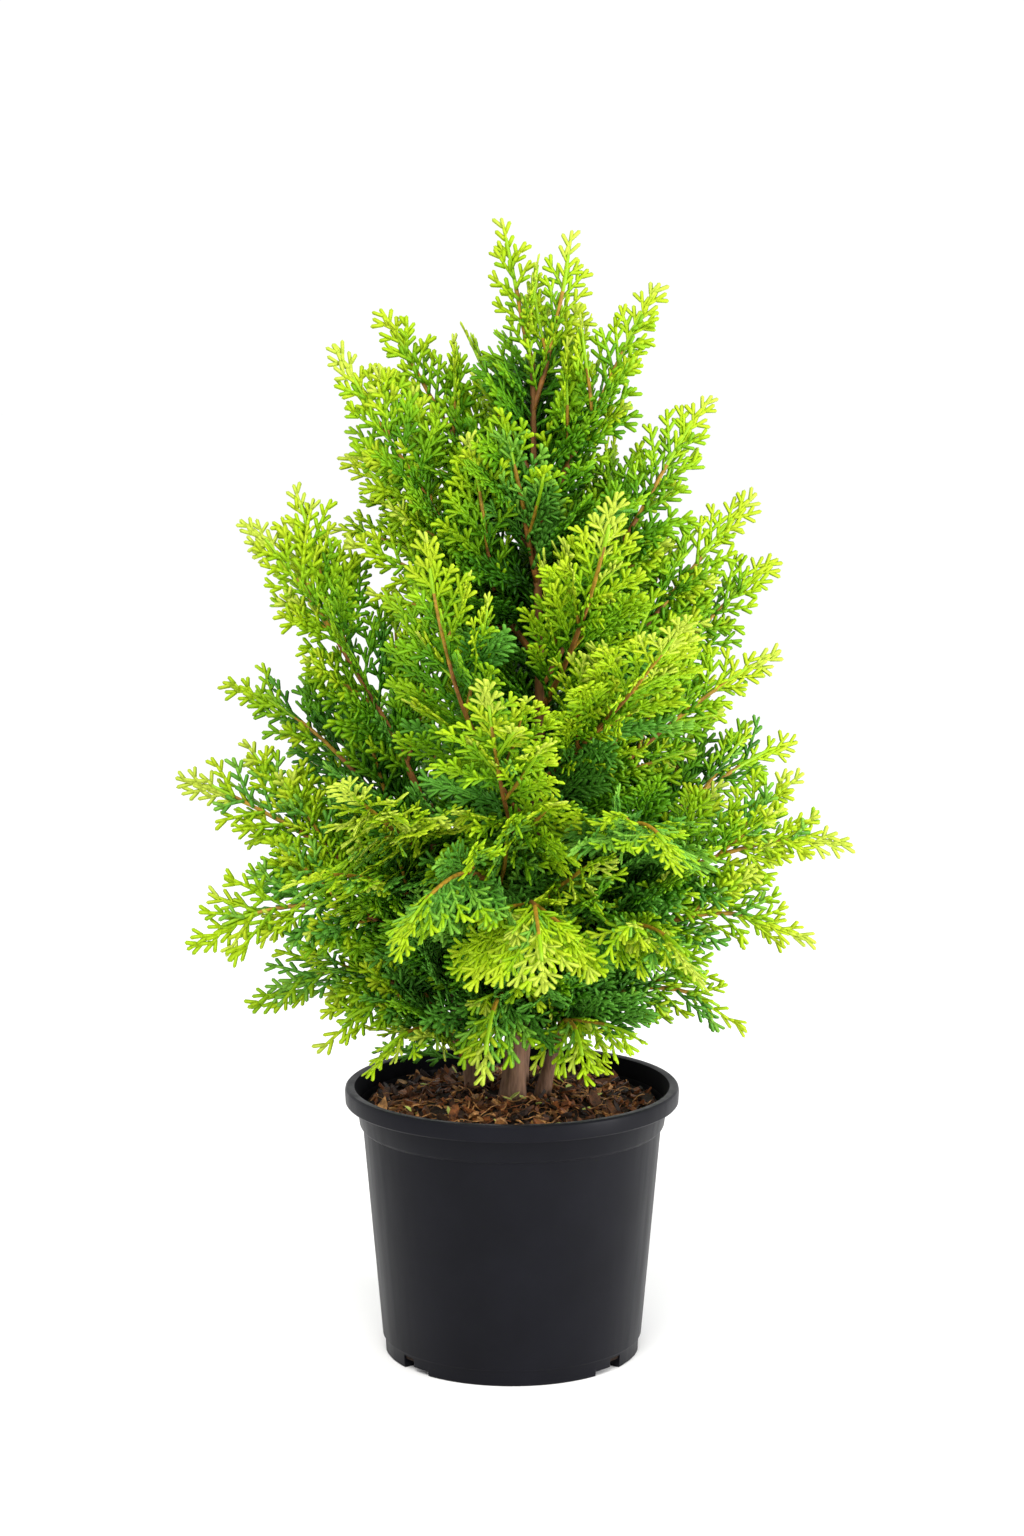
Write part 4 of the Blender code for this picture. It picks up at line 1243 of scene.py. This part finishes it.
def clear_of_limbs(probes):
    for limb, stations in LIMBS.items():
        foot, top = stations[0][2], stations[-1][2]
        for probe in probes:
            if foot < probe[2] < top:
                point, radius = limb_at(limb, probe[2])
                if math.hypot(probe[0] - point.x, probe[1] - point.y) < radius + LIMB_CLEARANCE:
                    return False
    return True


def clear_of_pot(probes):
    radius = np.hypot(probes[:, 0], probes[:, 1])
    above_rim = probes[:, 2] > POT_HEIGHT + POT_CLEARANCE
    inside = radius < RIM_RADIUS - RIM_WIDTH - POT_CLEARANCE
    above_soil = probes[:, 2] > SOIL_TOP + POT_CLEARANCE
    outside = radius > RIM_RADIUS + POT_CLEARANCE
    return bool(np.all(above_rim | (inside & above_soil) | outside))


def within_reach(probes):
    low, high = CAD_BOX
    return bool(np.all((probes > np.array(low) - REACH_SLACK)
                       & (probes < np.array(high) + REACH_SLACK)))


def fits(probes, limb_step=1):
    return clear_of_pot(probes) and within_reach(probes) and clear_of_limbs(probes[::limb_step])


def frond_fits(frond, root, free):
    """Whether a frond fits, looking past the part of it that is close to its root."""
    probes = frond.ends[::2]
    return fits(probes[np.linalg.norm(probes - np.array(root), axis=1) > free], 3)


def hung(root, ahead, side, angle, roll):
    """A frond's heading and normal: it hangs low in the crown, face out if its fan is level."""
    hang = hanging(root)
    heading = ahead * math.cos(angle) + side * math.sin(angle)
    heading.z += LIFT * (1 - hang) - HANG_PULL * hang
    heading.normalize()
    outward = Vector((root.x, root.y, 0.3 * root.xy.length)).normalized()
    normal = ahead.cross(side).normalized()
    if normal.dot(outward) < 0:
        normal.negate()
    normal = normal.lerp(outward, hang * math.cos(math.radians(roll)) ** 2)
    return heading, (normal - heading * normal.dot(heading)).normalized()


def crown_sites(path, start, leaf, rng, size=1.0):
    """Root, directions, angle and length of each frond along a path, and how young it is, lowered
    as painted shade for the frond out of the fan's plane.
    """
    end = path.length - 0.66 * terminal_length(path)
    sign = rng.choice((-1, 1))
    distance = start
    while distance < end:
        sign = -sign
        rest = path.length - distance
        longest = min(leaf.frond_length, 0.54 * rest + 0.0045) * size
        longest *= 0.82 + 0.18 * min(1.0, (distance - start) / 0.020)
        rolls = [(path.roll + rng.uniform(-9, 9), sign)]
        if rest > 0.050 and rng.random() < 0.88 - 0.5 * hanging(path.at(distance)):
            rolls.append((path.roll + rng.choice((-1, 1)) * rng.uniform(30, 75), -sign))
        for k, (roll, hand) in enumerate(rolls):
            side = path.across(distance, math.radians(roll)) * hand
            length = longest * rng.uniform(0.78, 1.12) * (0.82 if k else 1.0)
            length *= 0.78 if side.z < -0.4 and path.heading(distance).z > 0 else 1.04
            angle = math.radians(FROND_ANGLE + rng.uniform(-5, 5))
            # painted shade: the frond out of the fan's plane is made darker, as if it stood behind
            # the fan
            young = math.exp(-rest / 0.035) - 0.25 * k
            yield path.at(distance), path.heading(distance), side, angle, length, young
        distance += min(leaf.frond_step, 0.0038 + 0.052 * rest)


def place_frond(root, ahead, side, angle, length, roll, leaf, rng):
    """The longest frond that fits from this root, turned a little if it must be."""
    for shorter in SHORTENINGS:
        for tilt in TILTS:
            lean = Matrix.Rotation(math.radians(tilt), 3, ahead) @ side
            heading, normal = hung(root, ahead, lean, angle, roll)
            found = Spray(length * shorter, leaf, rng).laid_out(root - normal * FROND_INSET,
                                                                heading, normal)
            if frond_fits(found, root, 0.006):
                return found
    return None


def grow_fronds(run, leaf):
    """All the fronds of one mass, each with its youth: 1 at a tip, 0 far behind it, and lower
    still, as painted shade, for fronds out of their fan's plane.
    """
    rng = random.Random("fronds " + run.name)
    for path, place in branches(run):
        root = path.at(path.length - terminal_length(path))
        heading = (path.tip - root).normalized()
        roll = math.radians(path.roll)
        normal = heading.cross(path.across(path.length - 0.010, roll)).normalized()
        size = SHORT_FRONDS.get(run.name, 1.0)
        reach = (path.tip - root).length * min(1.0, size + 0.26)
        spray = Spray(reach, leaf, rng, bend=0.0, breadth=1.05)
        yield spray.laid_out(root, heading, normal), 1.0
        bare = 0.12 if place else foliage_start(path, run.bough) / path.length
        for *site, young in crown_sites(path, bare * path.length, leaf, rng, size):
            found = place_frond(*site, path.roll, leaf, rng)
            if found:
                yield found, young


def inner_fronds(leaf):
    """Fronds borne straight on the trunk and stems, all the way round and up."""
    rng = random.Random("inner")
    turn = 0.0
    for k in range(leaf.inner_fronds):
        turn += GOLDEN_ANGLE
        limb = rng.choices(tuple(LIMBS), LIMB_WEIGHTS)[0]
        foot, top = LIMBS[limb][0][2] + 0.035, LIMBS[limb][-1][2] - 0.004
        if k % 6 == 0:
            top = min(top, 0.275)
        height = foot + (top - foot) * ((k + rng.random()) / leaf.inner_fronds * 5 % 1.0)
        azimuth = math.radians(turn + rng.uniform(-15, 15))
        toward_viewer = math.cos(azimuth)
        if toward_viewer > 0.80 and limb == "trunk" and height > 0.28:
            azimuth += math.pi
        point, radius = limb_at(limb, height)
        outward = Vector((math.sin(azimuth), -math.cos(azimuth), 0))
        climb = math.radians(rng.uniform(22, 55))
        heading = outward * math.cos(climb) + Vector((0, 0, math.sin(climb)))
        across = outward.cross(Vector((0, 0, 1)))
        normal = Matrix.Rotation(rng.uniform(-1.3, 1.3), 3, heading) @ heading.cross(across)
        length = leaf.frond_length * rng.uniform(0.9, 1.4) * min(1.0, 5.0 * (CROWN_TOP - height))
        spray = Spray(length, leaf, rng, breadth=1.3)
        found = spray.laid_out(point + outward * radius * 0.6, heading, normal.normalized())
        if frond_fits(found, point, 0.009):
            yield found, height


# rings along a part: share of its length, share of its width
SHOOT_RINGS = ((0.10, 0.92), (0.87, 0.94))
AXIS_RINGS = ((0.0, 1.0), (1.0, 1.0))
SHOOT_FACES = (
    [(0, 1 + (k + 1) % 3, 1 + k) for k in range(3)]
    + [(1 + k, 1 + (k + 1) % 3, 4 + (k + 1) % 3, 4 + k) for k in range(3)]
    + [(4 + k, 4 + (k + 1) % 3, 7) for k in range(3)]
)
AXIS_FACES = [(0, 2, 1), (3, 4, 5)] + [(k, (k + 1) % 3, 3 + (k + 1) % 3, 3 + k) for k in range(3)]


def unit(rows):
    return rows / np.linalg.norm(rows, axis=1, keepdims=True)


def ridged(starts, ends, widths, normals, rings, flat, ridge):
    """Three corners at each ring of every part: two on its flat side and one on its ridge."""
    along = ends - starts
    side = unit(np.cross(normals, along)) * widths[:, None] / 2
    over = unit(np.cross(along, side)) * widths[:, None] / 2
    corners = []
    for place, swell in rings:
        middle = starts + along * place
        wide, thick = side * swell, over * swell
        corners += [middle + wide - thick * flat, middle + thick * ridge,
                    middle - wide - thick * flat]
    return corners


def shoot_corners(starts, ends, widths, normals):
    """Every shoot is a flat club with a ridge, closed at both ends, with eight corners."""
    rings = ridged(starts, ends, widths, normals, SHOOT_RINGS, 0.22, 0.60)
    return np.stack([starts, *rings, ends], axis=1)


def axis_corners(starts, ends, widths, normals):
    """Every stretch of axis is a three-sided bar, closed at both ends, with six corners."""
    return np.stack(ridged(starts, ends, widths, normals, AXIS_RINGS, 0.35, 0.75), axis=1)


def leaf_level_with_painted_light(run_level, young, root, rng):
    """How light a frond is: lighter for young growth, with painted shade deep inside the crown and
    painted light on its outside, its top and its hanging fronds.
    """
    height = max(0.0, (root[2] - 0.17) / 0.47)
    edge = 0.185 - 0.135 * height
    # painted shade: fronds low and deep inside the crown get a darker tint, those high up or at its
    # edge a lighter one
    shell = max(height, min(1.2, math.hypot(root[0], root[1] * 1.1) / edge))
    # painted light: hanging fronds get a lighter tint, as they face the lamps
    lit = 0.22 * hanging(Vector(root))
    return run_level + 0.38 * (young - 0.35) + 0.24 * (shell - 0.7) + lit + rng.gauss(0, 0.06)


class Foliage:
    """Collects fronds with their tints and makes them one mesh."""

    def __init__(self, names):
        self.names = names
        self.fronds = []
        self.tints = []

    def add(self, frond, ladder, level):
        """The outer branchlets and the shoots are a step lighter than the axes inside."""
        steps = level + 0.36 * (frond.shares - 0.55) + 0.05 * frond.kinds
        picks = np.clip(np.round(steps * (len(ladder) - 1)), 0, len(ladder) - 1).astype(int)
        self.fronds.append(frond)
        self.tints.append(np.array([self.names.index(name) for name in ladder])[picks])

    def make(self, piece_name, leaf):
        seed = np.random.default_rng(len(self.fronds))
        starts, ends, widths, kinds = (np.concatenate([getattr(frond, field)
                                                       for frond in self.fronds])
                                       for field in ("starts", "ends", "widths", "kinds"))
        normals = np.concatenate([np.tile(frond.normal, (len(frond.starts), 1))
                                  for frond in self.fronds])
        normals += seed.normal(0, 0.12, normals.shape)
        tints = np.concatenate(self.tints)
        verts, faces, face_tints = [], [], []
        offset = 0
        for kind, corners_of, shape in ((SHOOT, shoot_corners, SHOOT_FACES),
                                        (AXIS, axis_corners, AXIS_FACES)):
            mine = kinds == kind
            corners = corners_of(starts[mine], ends[mine], widths[mine], normals[mine])
            bases = offset + corners.shape[1] * np.arange(len(corners))
            for size in (3, 4):
                pattern = np.array([face for face in shape if len(face) == size])
                found = bases[:, None, None] + pattern[None]
                faces += found.reshape(-1, size).tolist()
                face_tints.append(np.repeat(tints[mine], len(pattern)))
            verts.append(corners.reshape(-1, 3))
            offset += corners.shape[0] * corners.shape[1]
        return mesh_from_arrays(piece_name, np.concatenate(verts), faces,
                                leaf_materials(leaf, self.names), np.concatenate(face_tints))


class THUJA_OT_foliage(bpy.types.Operator):
    """Grows the flat fronds of scale leaves on every mass of the crown"""

    bl_idname = "thuja.foliage"
    bl_label = "Foliage"

    def execute(self, context):
        leaf = context.scene.thuja_leaf
        runs = {run.name: run for run in PLAN}
        names = sorted(set(LADDER + BLUE_LADDER))
        inner = list(inner_fronds(leaf))
        for piece_name, members in CROWN_PIECES.items():
            foliage = Foliage(names)
            for member in members:
                run = runs[member]
                rng = random.Random("tints " + member)
                for frond, young in grow_fronds(run, leaf):
                    level = leaf_level_with_painted_light(TINT_LEVEL[run.tint], young, frond.starts[0], rng)
                    cool = run.tint == "blue" or rng.random() < 1.05 - 2.6 * frond.starts[0][2]
                    foliage.add(frond, BLUE_LADDER if cool else LADDER, level)
            rng = random.Random("inner tints")
            if piece_name in INNER_HOLDERS:
                low, high = INNER_HOLDERS[piece_name]
                for frond, height in inner:
                    if low <= height < high:
                        cool = rng.random() < 1.05 - 2.2 * height
                        # inner fronds sit low on the tint ladder: older leaves, and painted shade
                        # for the crown's inside
                        foliage.add(frond, BLUE_LADDER if cool else LADDER,
                                    0.24 + 0.14 * cool + rng.gauss(0, 0.06))
            piece = foliage.make(piece_name, leaf)
            hand_over(piece, "foliage_green", *("foliage_" + member for member in members))
        return {"FINISHED"}


# ---------------------------------------------------------------- stage


def area_light(name, place, target, size, power, colour=(1, 1, 1)):
    light = bpy.data.lights.new(name, "AREA")
    light.shape = "RECTANGLE"
    light.size, light.size_y = size
    light.energy = power
    light.color = colour
    lamp = bpy.data.objects.new(name, light)
    bpy.context.scene.collection.objects.link(lamp)
    lamp.location = place
    aim = Vector(target) - Vector(place)
    lamp.rotation_euler = aim.to_track_quat("-Z", "Y").to_euler()


class THUJA_OT_stage(bpy.types.Operator):
    """Sets the white floor, the soft studio light and the camera"""

    bl_idname = "thuja.stage"
    bl_label = "Stage"

    def execute(self, context):
        settings = context.scene.thuja_stage
        camera = bpy.data.cameras.new("camera")
        camera.lens = CAMERA_LENS
        camera.sensor_width = SENSOR_WIDTH
        eye = bpy.data.objects.new("camera", camera)
        context.scene.collection.objects.link(eye)
        eye.location = CAMERA_PLACE
        eye.rotation_euler = (math.pi / 2 - math.radians(CAMERA_DIP), 0.0, 0.0)
        context.scene.camera = eye
        deselect()
        bpy.ops.mesh.primitive_circle_add(vertices=64, radius=14.0, fill_type="NGON")
        floor = context.object
        floor.name = "floor"
        floor.data.materials.append(principled("floor", settings.floor, 0.9, 0.1)[0])
        world = bpy.data.worlds.new("surround")
        world.use_nodes = True
        background = world.node_tree.nodes["Background"]
        background.inputs["Color"].default_value = (1.0, 1.0, 1.0, 1.0)
        background.inputs["Strength"].default_value = settings.sky
        context.scene.world = world
        area_light("key", (-0.35, -1.3, 2.1), (0, 0, 0.35), (1.3, 1.3), settings.key,
                   (1.0, 0.985, 0.95))
        area_light("fill", (1.45, -0.72, 0.45), (0, 0, 0.2), (0.35, 0.9), settings.fill)
        context.scene.view_settings.view_transform = "Standard"
        return {"FINISHED"}


# ---------------------------------------------------------------- add-on


class THUJA_PT_panel(bpy.types.Panel):
    bl_label = "Potted Thuja"
    bl_idname = "THUJA_PT_panel"
    bl_space_type = "VIEW_3D"
    bl_region_type = "UI"
    bl_category = "Thuja"

    def draw(self, context):
        for title, group, _, operators in SECTIONS:
            box = self.layout.box()
            box.label(text=title)
            settings = getattr(context.scene, group)
            for name in settings.__annotations__:
                box.prop(settings, name)
            for operator in operators:
                box.operator(operator.bl_idname)


SECTIONS = (
    ("Stage", "thuja_stage", StageSettings, (THUJA_OT_stage,)),
    ("Pot", "thuja_pot", PotSettings, (THUJA_OT_pot,)),
    ("Mulch", "thuja_mulch", MulchSettings, (THUJA_OT_mulch_bed, THUJA_OT_chips)),
    ("Wood", "thuja_bark", BarkSettings, (THUJA_OT_limbs, THUJA_OT_twigs)),
    ("Leaves", "thuja_leaf", LeafSettings, (THUJA_OT_foliage,)),
)


def register():
    for _, name, group, operators in SECTIONS:
        bpy.utils.register_class(group)
        setattr(bpy.types.Scene, name, PointerProperty(type=group))
        for operator in operators:
            bpy.utils.register_class(operator)
    bpy.utils.register_class(THUJA_PT_panel)


def unregister():
    bpy.utils.unregister_class(THUJA_PT_panel)
    for _, name, group, operators in reversed(SECTIONS):
        for operator in reversed(operators):
            bpy.utils.unregister_class(operator)
        delattr(bpy.types.Scene, name)
        bpy.utils.unregister_class(group)


def main():
    register()
    bpy.ops.thuja.stage()
    bpy.ops.thuja.pot()
    bpy.ops.thuja.mulch_bed()
    bpy.ops.thuja.chips()
    bpy.ops.thuja.limbs()
    bpy.ops.thuja.twigs()
    bpy.ops.thuja.foliage()
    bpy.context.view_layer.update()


if __name__ == "__main__":
    main()
